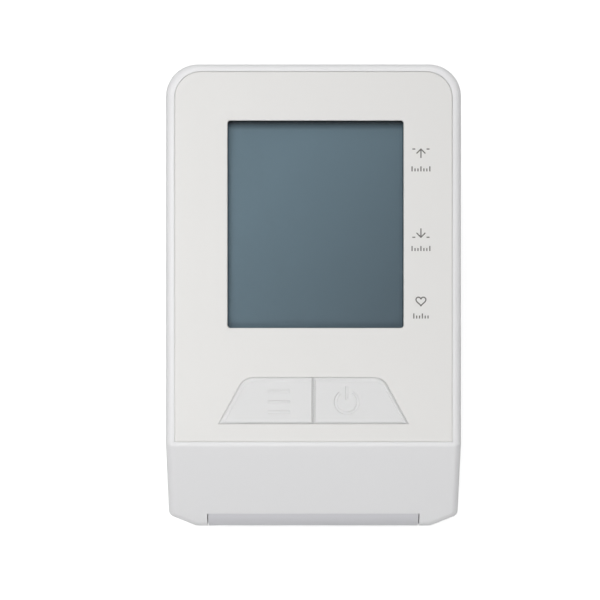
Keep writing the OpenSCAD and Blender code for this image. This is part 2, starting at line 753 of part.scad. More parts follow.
module pump_motor() color("#b8babd") translate([0, pump_y, pump_z]) {
    rod_x(pump_x1 - motor_l, pump_x1, motor_d / 2);
    rod_x(pump_x1 - eps, pump_x1 + 1.2, 3);
    for (side = [-1, 1]) translate([pump_x1 - eps, side * 4.5 - 1, -0.25]) cube([1.6, 2, 0.5]);
}

module pump_head() color("#3f4246") translate([0, pump_y, pump_z]) {
    difference() {
        rod_x(pump_x0, pump_x1 - motor_l, head_d / 2);
        // Waists between the crank case, the diaphragm and the valve cover
        for (x = [head_l * 0.3, head_l * 0.7]) difference() {
            rod_x(pump_x0 + x - 0.4, pump_x0 + x + 0.4, head_d);
            rod_x(pump_x0 + x - 1, pump_x0 + x + 1, head_d / 2 - 0.6);
        }
    }
    translate([0, 0, 6]) rod_x(pump_x0 - nipple_l, pump_x0 + eps, nipple_r);
}

module pump_sleeve() color("#57595c") translate([0, pump_y, pump_z]) difference() {
    rod_x(pump_x1 - motor_l + 3, pump_x1 - 4, sleeve_r);
    rod_x(pump_x1 - motor_l, pump_x1, motor_d / 2 + 0.05);
}

module release_valve() color("#c9c5b8") {
    translate([manifold.x - valve_w / 2, valve_y, floor_top + rest_gap]) cube([valve_w, valve_l, valve_h - 3]);
    translate([manifold.x, valve_y + valve_l / 2, floor_top + rest_gap + valve_h - 3 - eps])
        cylinder(h = 3, r = 5);
    translate([manifold.x, valve_y - nipple_l, valve_nipple_z]) rotate([-90, 0, 0])
        cylinder(h = nipple_l + eps, r = nipple_r);
}

// Nipples towards the port, the pump, the sensor and the valve, and a socket for the bleed valve
module air_manifold() color("#dedcd4") translate(manifold) {
    sphere(manifold_r + 0.6);
    rod_x(-manifold_nipple, manifold_nipple, nipple_r);
    rotate([-90, 0, 0]) cylinder(h = manifold_nipple, r = nipple_r);
    rotate([180, 0, 0]) cylinder(h = manifold_nipple, r = nipple_r);
    rotate([90, 0, 0]) cylinder(h = 8, r = nipple_r);
}

module bleed_valve() color("#4a4a4c") translate([manifold.x, manifold.y - manifold_r - 1.6, manifold.z])
    rotate([90, 0, 0]) difference() {
        union() {
            cylinder(h = 8, r = 3.6);
            translate([0, 0, 8 - eps]) cylinder(h = 1.6, r = 2.2);
        }
        translate([0, 0, -1]) cylinder(h = 5, r = nipple_r + 0.05);
    }

pump_bend_x = pump_nipple.x - 5.7;

module pump_hose() color("#d5d8d8") hose(smooth_route([
    pump_nipple + [nipple_l - 0.6, 0, 0],
    pump_nipple + [-1, 0, 0],
    [pump_bend_x, pump_y - 1.5, pump_nipple.z],
    [(pump_bend_x + manifold.x) / 2 - 1.4, pump_y - 6, manifold.z + 1],
    manifold + [0, manifold_nipple + 1, 0],
    manifold + [0, manifold_r + 1.6, 0],
], 3), [0, 0, 1]);

valve_hose_z = floor_top + hose_r + 0.4;
valve_bend = manifold.z - manifold_nipple - valve_hose_z;

module valve_hose() color("#d5d8d8") hose(smooth_route([
    [manifold.x, valve_y - 0.6, valve_nipple_z],
    [manifold.x, valve_y - nipple_l - 0.5, valve_nipple_z],
    [manifold.x, valve_y - nipple_l - 4, valve_nipple_z - 0.6],
    [manifold.x, valve_y - 18, valve_hose_z],
    [manifold.x, manifold.y + valve_bend, valve_hose_z],
    [manifold.x, manifold.y + 0.3 * valve_bend, valve_hose_z + 0.3 * valve_bend],
    manifold - [0, 0, manifold_nipple],
    manifold - [0, 0, manifold_r + 1.6],
], 3), [1, 0, 0]);

sensor_tip = on_slope(sensor_s, -board_low - sensor_tip_depth - 1);
sensor_seat = on_slope(sensor_s, -board_low - sensor_t - 2.4);
sensor_bend = sensor_tip.y - manifold.z;

module sensor_hose() color("#d5d8d8") hose(smooth_route([
    manifold + [manifold_r + 1.6, 0, 0],
    manifold + [manifold_nipple + 1, 0, 0],
    [sensor_x - sensor_bend - 1, manifold.y + 1.4, manifold.z],
    [sensor_x - 0.3 * sensor_bend, sensor_tip.x, manifold.z + 0.3 * sensor_bend],
    [sensor_x, sensor_tip.x, sensor_tip.y],
    [sensor_x, sensor_seat.x, sensor_seat.y],
], 3), [0, 1, 0]);

port_inner_x = port_face + port_bore_l + 2;

module port_hose() color("#d5d8d8") hose(smooth_route([
    [port_inner_x + 0.6, port_y, port_z],
    manifold - [manifold_r + 1.6, 0, 0],
], 2), [0, 0, 1]);

module air_port() color("#c9cacb") translate([0, port_y, port_z]) difference() {
    union() {
        rod_x(port_face, port_inner_x, port_r);
        rod_x(port_pad_x + port_seal_t, port_pad_x + port_seal_t + 1.5, port_pad_r);
        rod_x(port_inner_x - eps, port_inner_x + nipple_l, nipple_r);
    }
    rod_x(port_face - 1, port_face + port_bore_l, port_bore_r);
}

module port_seal() color("#333436") translate([0, port_y, port_z]) difference() {
    rod_x(port_pad_x, port_pad_x + port_seal_t, port_pad_r - 0.3);
    rod_x(port_pad_x - 1, port_pad_x + port_seal_t + 1, port_r + 0.05);
}

// ---- Batteries and their door ----

// The door's section: a lip on the apron's slope, the roll, and the flat that closes the bay
module door_section() {
    steps = 24;
    along = [cos(apron_slope), sin(apron_slope)];
    arc = function (r) [for (i = [0 : steps]) let (a = 90 + apron_slope + (180 - apron_slope) * i / steps)
        r * [cos(a), sin(a)]];
    outer = arc(door_roll_r);
    inner = arc(door_roll_r - door_t);
    run = bay_y1 - door_axis.x;
    translate(door_axis) polygon([
        outer[0] + door_lip * along, each outer, [run, -door_roll_r],
        [run, door_t - door_roll_r], for (i = [steps : -1 : 0]) inner[i], inner[0] + door_lip * along,
    ]);
}

module battery_door() color(housing_white) difference() {
    union() {
        across(door_w) door_section();
        // Hooks that run on the ledges of the lower half
        for (side = [0, 1], y = [bay_y0 + 2, (bay_y0 + bay_y1) / 2 - 4, bay_y1 - 11])
            mirror([side, 0, 0]) {
                translate([ledge_in - hook_gap - hook_web_t, y, door_top - eps])
                    cube([hook_web_t, 8, ledge_top + hook_gap + hook_t - door_top]);
                translate([ledge_in - hook_gap - eps, y, ledge_top + hook_gap])
                    cube([door_x - ledge_in, 8, hook_t]);
            }
        // Ribs that stiffen the door and hold the cells up
        for (y = [bay_y0 + 14, bay_y1 - 14])
            translate([-bay_in_w / 2 + 1, y, door_top - eps]) cube([bay_in_w - 2, 1, cell_gap - 0.1]);
    }
    // Grip grooves across the underside
    for (i = [0 : 4]) translate([0, bay_y0 + 4 + 2.2 * i, foot_h]) rod_x(-9, 9, 0.5);
}

// Each cell lies along Y, and its neighbours point the other way
module cell_places() for (i = [0 : cell_count - 1])
    translate([(i - (cell_count - 1) / 2) * cell_pitch, (bay_y0 + bay_y1) / 2, cell_z])
        rotate([0, 0, 180 * (i % 2)]) children();

half_bay = bay_in_l / 2;

module aa_cells() color("#3c4a58") cell_places() translate([0, half_bay - contact_t, 0]) rotate([90, 0, 0]) {
    cylinder(h = 1.3, r = 2.75);
    translate([0, 0, 1.2]) cylinder(h = cell_l - 1.2, r = cell_d / 2);
}

module spring_contacts() color("#c9ccce") cell_places() {
    turns = 3;
    steps = 10;
    wire_r = 0.35;
    run = spring_l - 2 * wire_r;
    wire(
        [for (i = [0 : turns * steps])
            let (t = i / (turns * steps), r = 4.4 - 1.5 * t)
                [r * cos(360 * turns * t), contact_t - half_bay + wire_r + run * t, r * sin(360 * turns * t)]],
        [0, 1, 0], wire_r, 6
    );
}

module plate_contacts() color("#d2d4d6") cell_places() for (side = [-1, 1])
    translate([-5.5, side > 0 ? half_bay - contact_t : -half_bay, -5.5]) cube([11, contact_t, 11]);

// ---- Leads ----

lead_r = 0.6;
lead_gap = 2.6;
// Point under a plug: dx across and ds up the slope from its middle, and down from its face
function plug_point(plug, dx, ds, down) =
    let (p = on_slope(plug.y + ds, -board_low - plug_face - down)) [plug.x + dx, p.x, p.y];

module motor_leads() for (side = [-0.5, 0.5]) color(side < 0 ? "#b03a2e" : "#222222") {
    x = pump_x1 + 1.1;
    wire(smooth_route([
        [x, pump_y + side * 9, pump_z + 0.3],
        [x, pump_y + side * 9, pump_z + 7],
        [x - 0.2, pump_y + side * 7, pump_z + 13],
        [x - 5, pump_y - 1 + side * 5, pump_z + 16.5],
        plug_point(motor_plug, 2, side * lead_gap, 3.5),
        plug_point(motor_plug, 0, side * lead_gap, 2),
        plug_point(motor_plug, 0, side * lead_gap, 0.1),
    ], 3), [0, 1, 0.12], lead_r, 6);
}

module valve_leads() for (side = [-0.5, 0.5]) color(side < 0 ? "#b03a2e" : "#222222") {
    dx = side * lead_gap;
    top = floor_top + rest_gap + valve_h;
    wire(smooth_route([
        [manifold.x + dx, valve_y + valve_l / 2, top + 0.15],
        [manifold.x + dx, valve_y + valve_l / 2, top + 3],
        [manifold.x - 4 + dx, valve_y + 3, top + 11],
        plug_point(valve_plug, 1 + dx, 0, 7),
        plug_point(valve_plug, dx, 0, 2),
        plug_point(valve_plug, dx, 0, 0.1),
    ], 3), [1, 0, 0], lead_r, 6);
}

module battery_leads() for (side = [-0.5, 0.5]) color(side < 0 ? "#b03a2e" : "#222222") {
    dx = side * lead_gap;
    x = battery_plug.x + dx;
    y = bay_back + lead_r + 0.1;
    wire(smooth_route([
        [x, y, bay_top - 6],
        [x, y, bay_top - 2],
        [x, y + 0.6, bay_top + 2],
        plug_point(battery_plug, dx, 0, 3.5),
        plug_point(battery_plug, dx, 0, 1.5),
        plug_point(battery_plug, dx, 0, 0.15),
    ], 3), [1, 0, 0], lead_r, 6);
}

// ---- Fasteners and feet ----

// A screw that points up, with its head below z = 0
module screw(r, head_r, head_h, l) difference() {
    union() {
        translate([0, 0, -head_h]) cylinder(h = head_h, r = head_r);
        translate([0, 0, -eps]) cylinder(h = l, r = r);
    }
    for (a = [0, 90]) rotate([0, 0, a]) translate([-head_r * 0.6, -0.3, -head_h - 1]) cube([head_r * 1.2, 0.6, 1.8]);
}

module case_screws() color("#9a9da0") for (p = case_screw_at) translate([p.x, p.y, screw_seat_z])
    screw(screw_r - 0.15, screw_head_r, 1.8, screw_l);

module board_screws() color("#9a9da0") on_panel() for (p = board_screw_at) translate([p.x, p.y, -board_low])
    screw(board_screw_r - 0.15, board_head_r, board_head_h, board_t + 3);

module rubber_feet() color("#8d8f92") for (p = foot_at) translate([p.x, p.y, 0]) rotate_extrude()
    polygon([[0, 0], [foot_r - 0.5, 0], [foot_r, 0.5], [foot_r, foot_h + foot_recess], [0, foot_h + foot_recess]]);

upper_housing();
lower_housing();
faceplate();
display_window();
lcd_glass();
lcd_holder();
lcd_connectors();
memory_button();
power_button();
memory_switch();
power_switch();
memory_plunger();
power_plunger();
main_board();
microcontroller();
board_chips();
board_capacitors();
board_connectors();
buzzer();
pressure_sensor();
pump_motor();
pump_head();
pump_sleeve();
release_valve();
bleed_valve();
air_manifold();
pump_hose();
valve_hose();
sensor_hose();
port_hose();
air_port();
port_seal();
dc_jack();
jack_pin();
battery_door();
aa_cells();
spring_contacts();
plate_contacts();
motor_leads();
valve_leads();
battery_leads();
case_screws();
board_screws();
rubber_feet();
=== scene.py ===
"""Desktop console of an upper-arm blood pressure monitor: its looks, its light and its camera.

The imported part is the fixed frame. Sizes are written in millimetres in the panel's own
frame: x across, s up the slope from the crease, h out of the panel. They become metres in
the part's frame where a mesh is made.
"""

from __future__ import annotations

import logging
import math
from collections.abc import Sequence
from dataclasses import dataclass, field
from enum import Enum

import bmesh
import bpy
import numpy as np
from bpy.types import Material, Mesh, Node, NodeTree, Object
from mathutils import Matrix, Vector


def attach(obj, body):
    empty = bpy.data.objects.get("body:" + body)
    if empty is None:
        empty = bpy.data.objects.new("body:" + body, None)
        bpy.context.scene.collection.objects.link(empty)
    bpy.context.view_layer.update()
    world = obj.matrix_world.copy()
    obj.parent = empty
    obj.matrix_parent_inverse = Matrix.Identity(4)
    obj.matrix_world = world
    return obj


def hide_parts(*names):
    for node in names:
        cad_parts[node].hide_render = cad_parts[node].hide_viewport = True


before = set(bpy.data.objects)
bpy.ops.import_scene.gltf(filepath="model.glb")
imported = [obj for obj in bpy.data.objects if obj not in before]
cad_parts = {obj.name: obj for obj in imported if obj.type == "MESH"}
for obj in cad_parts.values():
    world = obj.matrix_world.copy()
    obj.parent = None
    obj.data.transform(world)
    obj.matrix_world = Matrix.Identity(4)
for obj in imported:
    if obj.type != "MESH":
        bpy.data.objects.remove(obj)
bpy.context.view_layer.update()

log = logging.getLogger("console")
MM = 0.001
# Bevel in mm, merging distance in m, and the angles of flat, sharp and bevelled edges.
SHELL_EDGE = 0.12
MERGE_WITHIN = 2e-6
FLAT_WITHIN = math.radians(0.5)
SKIN_SHARP = 30.0
BEVEL_PAST = math.radians(40)
SHADING_WEIGHT = 80
# A mitre's divisor is kept above this, so that a cusp has no spike.
MITRE_LEAST = 0.6
Fills = Sequence[list[list[int]]]


class Rides(Enum):
    """The bodies that a piece can move with."""

    CONSOLE = "console"
    MEMORY_KEY = "memory_key"
    POWER_KEY = "power_key"
    BATTERY_COVER = "battery_cover"


class Side(Enum):
    """The left or the right half of the console."""

    LEFT = -1
    RIGHT = 1


# ---- frames and meshes


@dataclass(frozen=True)
class Panel:
    """The sloping panel: the place of its crease in mm and its tilt in degrees."""

    crease_y: float = -50.8775
    crease_z: float = 31.7851
    tilt: float = 14.0

    def place(self, points: np.ndarray) -> np.ndarray:
        """Turns panel points into part points: a turn by the tilt, then a move to the crease.

        Args:
            points: rows of (x, s, h) in mm.

        Returns:
            Rows of (x, y, z) in metres.
        """
        c, s = math.cos(math.radians(self.tilt)), math.sin(math.radians(self.tilt))
        x, along, out = np.asarray(points, float).reshape(-1, 3).T
        y = self.crease_y + along * c - out * s
        z = self.crease_z + along * s + out * c
        return np.column_stack([x, y, z]) * MM

    def normal(self) -> np.ndarray:
        """The direction out of the panel."""
        t = math.radians(self.tilt)
        return np.array([0.0, -math.sin(t), math.cos(t)])

    def up(self) -> np.ndarray:
        """The direction up the slope."""
        t = math.radians(self.tilt)
        return np.array([0.0, math.cos(t), math.sin(t)])


PANEL = Panel()


def grid_faces(rows: int, cols: int, wrap: bool = True, start: int = 0) -> np.ndarray:
    """Quads of a grid of points, row after row.

    Args:
        rows: number of rows of points.
        cols: number of points in each row.
        wrap: whether the last column joins the first.
        start: index of the grid's first point.

    Returns:
        An array of four point indices a face.
    """
    r = np.arange(rows - 1)[:, None]
    c = np.arange(cols if wrap else cols - 1)[None, :]
    a, b = r * cols + c, r * cols + (c + 1) % cols
    return start + np.stack([a, b, b + cols, a + cols], -1).reshape(-1, 4)


def mitres(loop: np.ndarray) -> np.ndarray:
    """Outward mitre vector at each point of an anticlockwise loop.

    The mitre of two neighbouring edge normals m and n is (m + n) / (1 + m . n), so that a
    move along it keeps both edges parallel to themselves.

    Args:
        loop: rows of (x, s) in mm.

    Returns:
        One mitre vector a point.
    """
    edge = np.roll(loop, -1, 0) - loop
    edge /= np.linalg.norm(edge, axis=1, keepdims=True)
    after = np.column_stack([edge[:, 1], -edge[:, 0]])
    before = np.roll(after, 1, 0)
    return (after + before) / (1 + (after * before).sum(1, keepdims=True))


def rounded_loop(corners: list[tuple[float, float, float]], steps: int = 12) -> np.ndarray:
    """An anticlockwise loop through corners that are each rounded by their own radius.

    Args:
        corners: (x, s, radius) in mm, anticlockwise.
        steps: number of chords in a rounded corner.

    Returns:
        The points of the loop. A corner's arc touches both of its edges.
    """
    at = np.array([c[:2] for c in corners])
    out = []
    for i, (x, s, r) in enumerate(corners):
        here = np.array([x, s])
        back = at[i - 1] - here
        on = at[(i + 1) % len(at)] - here
        back, on = back / np.linalg.norm(back), on / np.linalg.norm(on)
        if r <= 0:
            out.append(here[None])
            continue
        half = math.acos(float(back @ on)) / 2
        mid = here + (back + on) / np.linalg.norm(back + on) * r / math.sin(half)
        first = here + back * r / math.tan(half) - mid
        a0 = math.atan2(first[1], first[0])
        turn = math.pi - 2 * half
        a = a0 + np.linspace(0, turn, steps + 1)
        out.append(mid + r * np.column_stack([np.cos(a), np.sin(a)]))
    return np.concatenate(out)


def ring_edges(work: bmesh.types.BMesh, ring: list[int]) -> list[bmesh.types.BMEdge]:
    """The edges of a closed ring of points, which are made where they are missing.

    Args:
        work: the mesh in work, with its point table up to date.
        ring: the point indices round the ring.

    Returns:
        The ring's edges.
    """
    pairs = zip(ring, ring[1:] + ring[:1])
    ends = [(work.verts[a], work.verts[b]) for a, b in pairs]
    return [work.edges.get(pair) or work.edges.new(pair) for pair in ends]


def panel_mesh(name: str, points: np.ndarray, faces: list, fills: Fills = ()) -> Mesh:
    """Makes a mesh from panel points and fills its open borders with triangles.

    Args:
        name: the mesh's name.
        points: rows of (x, s, h) in mm.
        faces: lists of point indices.
        fills: groups of rings, each filled as one flat region with its holes.

    Returns:
        The mesh, in metres in the part's frame.
    """
    mesh = bpy.data.meshes.new(name)
    mesh.from_pydata(PANEL.place(points).tolist(), [], faces)
    work = bmesh.new()
    work.from_mesh(mesh)
    work.verts.ensure_lookup_table()
    for rings in fills:
        edges = [edge for ring in rings for edge in ring_edges(work, ring)]
        bmesh.ops.triangle_fill(work, use_beauty=True, edges=edges)
    if fills:
        bmesh.ops.recalc_face_normals(work, faces=work.faces)
        work.to_mesh(mesh)
    work.free()
    return mesh


def round_over(drop: float, r: float, steps: int = 4) -> list[tuple[float, float]]:
    """The profile of a rounded upper edge, from the foot of its wall to the face.

    Args:
        drop: how far under the face the wall starts, in mm.
        r: radius of the edge in mm.
        steps: number of chords in the edge.

    Returns:
        (inset, level) pairs in mm, the last one at level 0.
    """
    a = np.linspace(0, math.pi / 2, steps + 1)
    arc = np.column_stack([r - r * np.cos(a), -r + r * np.sin(a)])
    return [(0.0, -drop), *map(tuple, arc)]


def finish_piece(
    name: str,
    mesh: Mesh,
    body: Rides,
    look: Material,
    stands_for: tuple[str, ...] = (),
    sharp: float = 35.0,
) -> Object:
    """Turns a mesh into a smooth, dressed object that rides on its body.

    Args:
        name: the piece's name.
        mesh: its mesh, in metres in the part's frame.
        body: what the piece rides on.
        look: its material.
        stands_for: the CAD nodes that it replaces.
        sharp: angle in degrees past which an edge stays sharp.

    Returns:
        The new object.
    """
    for polygon in mesh.polygons:
        polygon.use_smooth = True
    mesh.set_sharp_from_angle(angle=math.radians(sharp))
    obj = bpy.data.objects.new(name, mesh)
    bpy.context.scene.collection.objects.link(obj)
    mesh.materials.clear()
    mesh.materials.append(look)
    even = obj.modifiers.new("even_shading", "WEIGHTED_NORMAL")
    even.keep_sharp = True
    even.weight = SHADING_WEIGHT
    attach(obj, body.value)
    if stands_for:
        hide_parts(*stands_for)
    log.info("%s: %d points, %d faces", name, len(mesh.vertices), len(mesh.polygons))
    return obj


def carried_over(
    node: str, body: Rides, look: Material, soften: float = 0.0
) -> Object:
    """A CAD node's shape as one joined surface with even shading and softened edges.

    The node's loose triangles are merged at their shared points, and triangles that lie in
    one plane become one face. The node itself is left as it is.

    Args:
        node: the CAD node.
        body: what it rides on.
        look: its material.
        soften: width in mm of the small bevel on its sharp edges, or 0.

    Returns:
        The piece that stands for the node.
    """
    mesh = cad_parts[node].data.copy()
    work = bmesh.new()
    work.from_mesh(mesh)
    bmesh.ops.remove_doubles(work, verts=work.verts, dist=MERGE_WITHIN)
    bmesh.ops.dissolve_limit(
        work, angle_limit=FLAT_WITHIN, verts=work.verts, edges=work.edges
    )
    work.to_mesh(mesh)
    work.free()
    piece = finish_piece(f"{node}_skin", mesh, body, look, (node,), SKIN_SHARP)
    if soften > 0:
        bevel = piece.modifiers.new("soft_edges", "BEVEL")
        bevel.width = soften * MM
        bevel.segments = 2
        bevel.limit_method = "ANGLE"
        bevel.angle_limit = BEVEL_PAST
        bevel.harden_normals = False
        bevel.use_clamp_overlap = True
        piece.modifiers.move(piece.modifiers.find("soft_edges"), 0)
    return piece


# ---- finishes


class Bench:
    """Node-wiring bench for one material or one node group."""

    def __init__(self, tree: NodeTree) -> None:
        """Starts with an empty node tree."""
        self.tree = tree
        tree.nodes.clear()

    def add(self, kind: str, second: object = None, **settings: object) -> Node:
        """Adds a node.

        Args:
            kind: the node's type.
            second: the value of its second input, if it is set.
            settings: its own settings, and its inputs by the socket's name, with an
                underscore for a space.

        Returns:
            The new node.
        """
        node = self.tree.nodes.new(kind)
        for key, value in settings.items():
            if hasattr(node, key):
                setattr(node, key, value)
                continue
            node.inputs[key.replace("_", " ")].default_value = value
        if second is not None:
            node.inputs[1].default_value = second
        return node

    def maths(self, operation: str, second: float | None = None) -> Node:
        """Adds a Math node; its second input is set where it is given."""
        return self.add("ShaderNodeMath", second, operation=operation)

    def link(
        self, source: Node, out: str | int, target: Node, into: str | int
    ) -> None:
        """Joins an output of the source to an input of the target."""
        self.tree.links.new(source.outputs[out], target.inputs[into])


def srgb(r: float, g: float, b: float) -> tuple[float, float, float, float]:
    """A colour written as the eye sees it, 0 to 255, as the linear values that shaders take."""
    v = np.array([r, g, b]) / 255
    lin = np.where(v <= 0.04045, v / 12.92, ((v + 0.055) / 1.055) ** 2.4)
    return (float(lin[0]), float(lin[1]), float(lin[2]), 1.0)


def fresh(name: str) -> tuple[Material, Bench, Node]:
    """A new material, its bench and its output node."""
    mat = bpy.data.materials.new(name)
    mat.use_nodes = True
    bench = Bench(mat.node_tree)
    return mat, bench, bench.add("ShaderNodeOutputMaterial")


def grained(bench: Bench, shader: Node, scale: float, depth: float) -> None:
    """Gives a shader the mould grain as bump.

    Args:
        bench: the material's bench.
        shader: the shader that takes the bump.
        scale: the grain's scale.
        depth: its depth in mm.
    """
    grain = bench.add("ShaderNodeGroup", node_tree=EFFECTS.grain, Scale=scale)
    bump = bench.add("ShaderNodeBump", Strength=1.0, Distance=depth * MM)
    bench.link(grain, "Height", bump, "Height")
    bench.link(bump, "Normal", shader, "Normal")


class Effects:
    """Shader node groups that several finishes share. Each is made once."""

    def __init__(self) -> None:
        """Builds the groups."""
        self.grain = self._grain()
        self.tone = self._tone()
        self.dust = self._dust()

    @staticmethod
    def _group(name: str, ins: dict[str, float], outs: list[str]) -> tuple:
        """Makes an empty group with number inputs and number outputs.

        Args:
            name: the group's name.
            ins: its inputs with their default values.
            outs: its outputs.

        Returns:
            The group, its bench, its input and output nodes and its coordinates.
        """
        tree = bpy.data.node_groups.new(name, "ShaderNodeTree")
        bench = Bench(tree)
        for key, value in ins.items():
            socket = tree.interface.new_socket(key, in_out="INPUT", socket_type="NodeSocketFloat")
            socket.default_value = value
        for key in outs:
            tree.interface.new_socket(key, in_out="OUTPUT", socket_type="NodeSocketFloat")
        inside = tree.nodes.new("NodeGroupInput")
        outside = tree.nodes.new("NodeGroupOutput")
        where = tree.nodes.new("ShaderNodeTexCoord")
        return tree, bench, inside, outside, where

    def _grain(self) -> NodeTree:
        """Spark-eroded mould grain: fine noise with a coarser one under it."""
        tree, bench, inside, outside, where = self._group(
            "mould_grain", {"Scale": 3000.0, "Coarse": 0.35}, ["Height"]
        )
        fine = bench.add("ShaderNodeTexNoise", Detail=3.0, Roughness=0.6)
        coarse = bench.add("ShaderNodeTexNoise", Detail=2.0, Roughness=0.5)
        third = bench.maths("MULTIPLY", 0.31)
        blend = bench.add("ShaderNodeMix", data_type="FLOAT")
        for noise in (fine, coarse):
            bench.link(where, "Object", noise, "Vector")
        bench.link(inside, "Scale", fine, "Scale")
        bench.link(inside, "Scale", third, 0)
        bench.link(third, 0, coarse, "Scale")
        bench.link(inside, "Coarse", blend, "Factor")
        bench.link(fine, 0, blend, "A")
        bench.link(coarse, 0, blend, "B")
        bench.link(blend, "Result", outside, "Height")
        return tree

    def _tone(self) -> NodeTree:
        """Slow change of tone in moulded plastic, from 0 to 1, as flow and handling leave it."""
        tree, bench, inside, outside, where = self._group(
            "slow_tone", {"Scale": 30.0, "Contrast": 1.0}, ["Tone"]
        )
        noise = bench.add("ShaderNodeTexNoise", Detail=4.0, Roughness=0.55)
        spread = bench.add("ShaderNodeMapRange", From_Min=0.35, From_Max=0.65)
        weigh = bench.maths("MULTIPLY")
        bench.link(where, "Object", noise, "Vector")
        bench.link(inside, "Scale", noise, "Scale")
        bench.link(noise, 0, spread, "Value")
        bench.link(spread, 0, weigh, 0)
        bench.link(inside, "Contrast", weigh, 1)
        bench.link(weigh, 0, outside, "Tone")
        return tree

    def _dust(self) -> NodeTree:
        """Fine dust that settles on faces that look up, in faint specks."""
        tree, bench, inside, outside, where = self._group(
            "settled_dust", {"Amount": 0.3, "Scale": 900.0}, ["Mask"]
        )
        facing = bench.add("ShaderNodeSeparateXYZ")
        specks = bench.add("ShaderNodeTexNoise", Detail=5.0, Roughness=0.75)
        cut = bench.add("ShaderNodeMapRange", From_Min=0.62, From_Max=0.8)
        up = bench.maths("MAXIMUM", 0.0)
        both = bench.maths("MULTIPLY")
        weigh = bench.maths("MULTIPLY")
        bench.link(where, "Normal", facing, 0)
        bench.link(facing, "Z", up, 0)
        bench.link(where, "Object", specks, "Vector")
        bench.link(inside, "Scale", specks, "Scale")
        bench.link(specks, 0, cut, "Value")
        bench.link(cut, 0, both, 0)
        bench.link(up, 0, both, 1)
        bench.link(both, 0, weigh, 0)
        bench.link(inside, "Amount", weigh, 1)
        bench.link(weigh, 0, outside, "Mask")
        return tree


EFFECTS = Effects()


@dataclass(frozen=True)
class Moulded:
    """A moulded plastic or rubber: colour, gloss, grain, slow tone and dust."""

    name: str
    colour: tuple[float, float, float]
    rough: float = 0.45
    grain_scale: float = 3000.0
    grain_depth: float = 0.006
    tone: float = 0.02
    dust: float = 0.0
    specular: float = 0.5
    alpha: float = 1.0
    metallic: float = 0.0
    coat: float = 0.0
    coat_rough: float = 0.12
    darkest: float = 0.6
    rough_swing: float = 0.04
    dust_colour: tuple[float, float, float] = (196, 193, 188)

    def make(self) -> Material:
        """Builds the material.

        The base colour is darkened by the slow tone and lightened a little by dust; the
        roughness follows the same tone, and the grain drives the bump.
        """
        mat, bench, out = fresh(self.name)
        shader = bench.add(
            "ShaderNodeBsdfPrincipled", Specular_IOR_Level=self.specular, Metallic=self.metallic,
            Coat_Weight=self.coat, Coat_Roughness=self.coat_rough, Alpha=self.alpha,
        )
        tone = bench.add("ShaderNodeGroup", node_tree=EFFECTS.tone, Contrast=self.tone)
        base = srgb(*self.colour)
        dark = (*(part * self.darkest for part in base[:3]), 1.0)
        shade = bench.add("ShaderNodeMix", data_type="RGBA", A=base, B=dark)
        dust = bench.add("ShaderNodeGroup", node_tree=EFFECTS.dust, Amount=self.dust)
        dusted = bench.add("ShaderNodeMix", data_type="RGBA", B=srgb(*self.dust_colour))
        rough = bench.add(
            "ShaderNodeMapRange", From_Max=max(self.tone, 1e-3),
            To_Min=self.rough - self.rough_swing, To_Max=self.rough + self.rough_swing,
        )
        grained(bench, shader, self.grain_scale, self.grain_depth)
        bench.link(tone, "Tone", shade, "Factor")
        bench.link(tone, "Tone", rough, "Value")
        bench.link(dust, "Mask", dusted, "Factor")
        bench.link(shade, "Result", dusted, "A")
        bench.link(dusted, "Result", shader, "Base Color")
        bench.link(rough, 0, shader, "Roughness")
        bench.link(shader, 0, out, "Surface")
        return mat


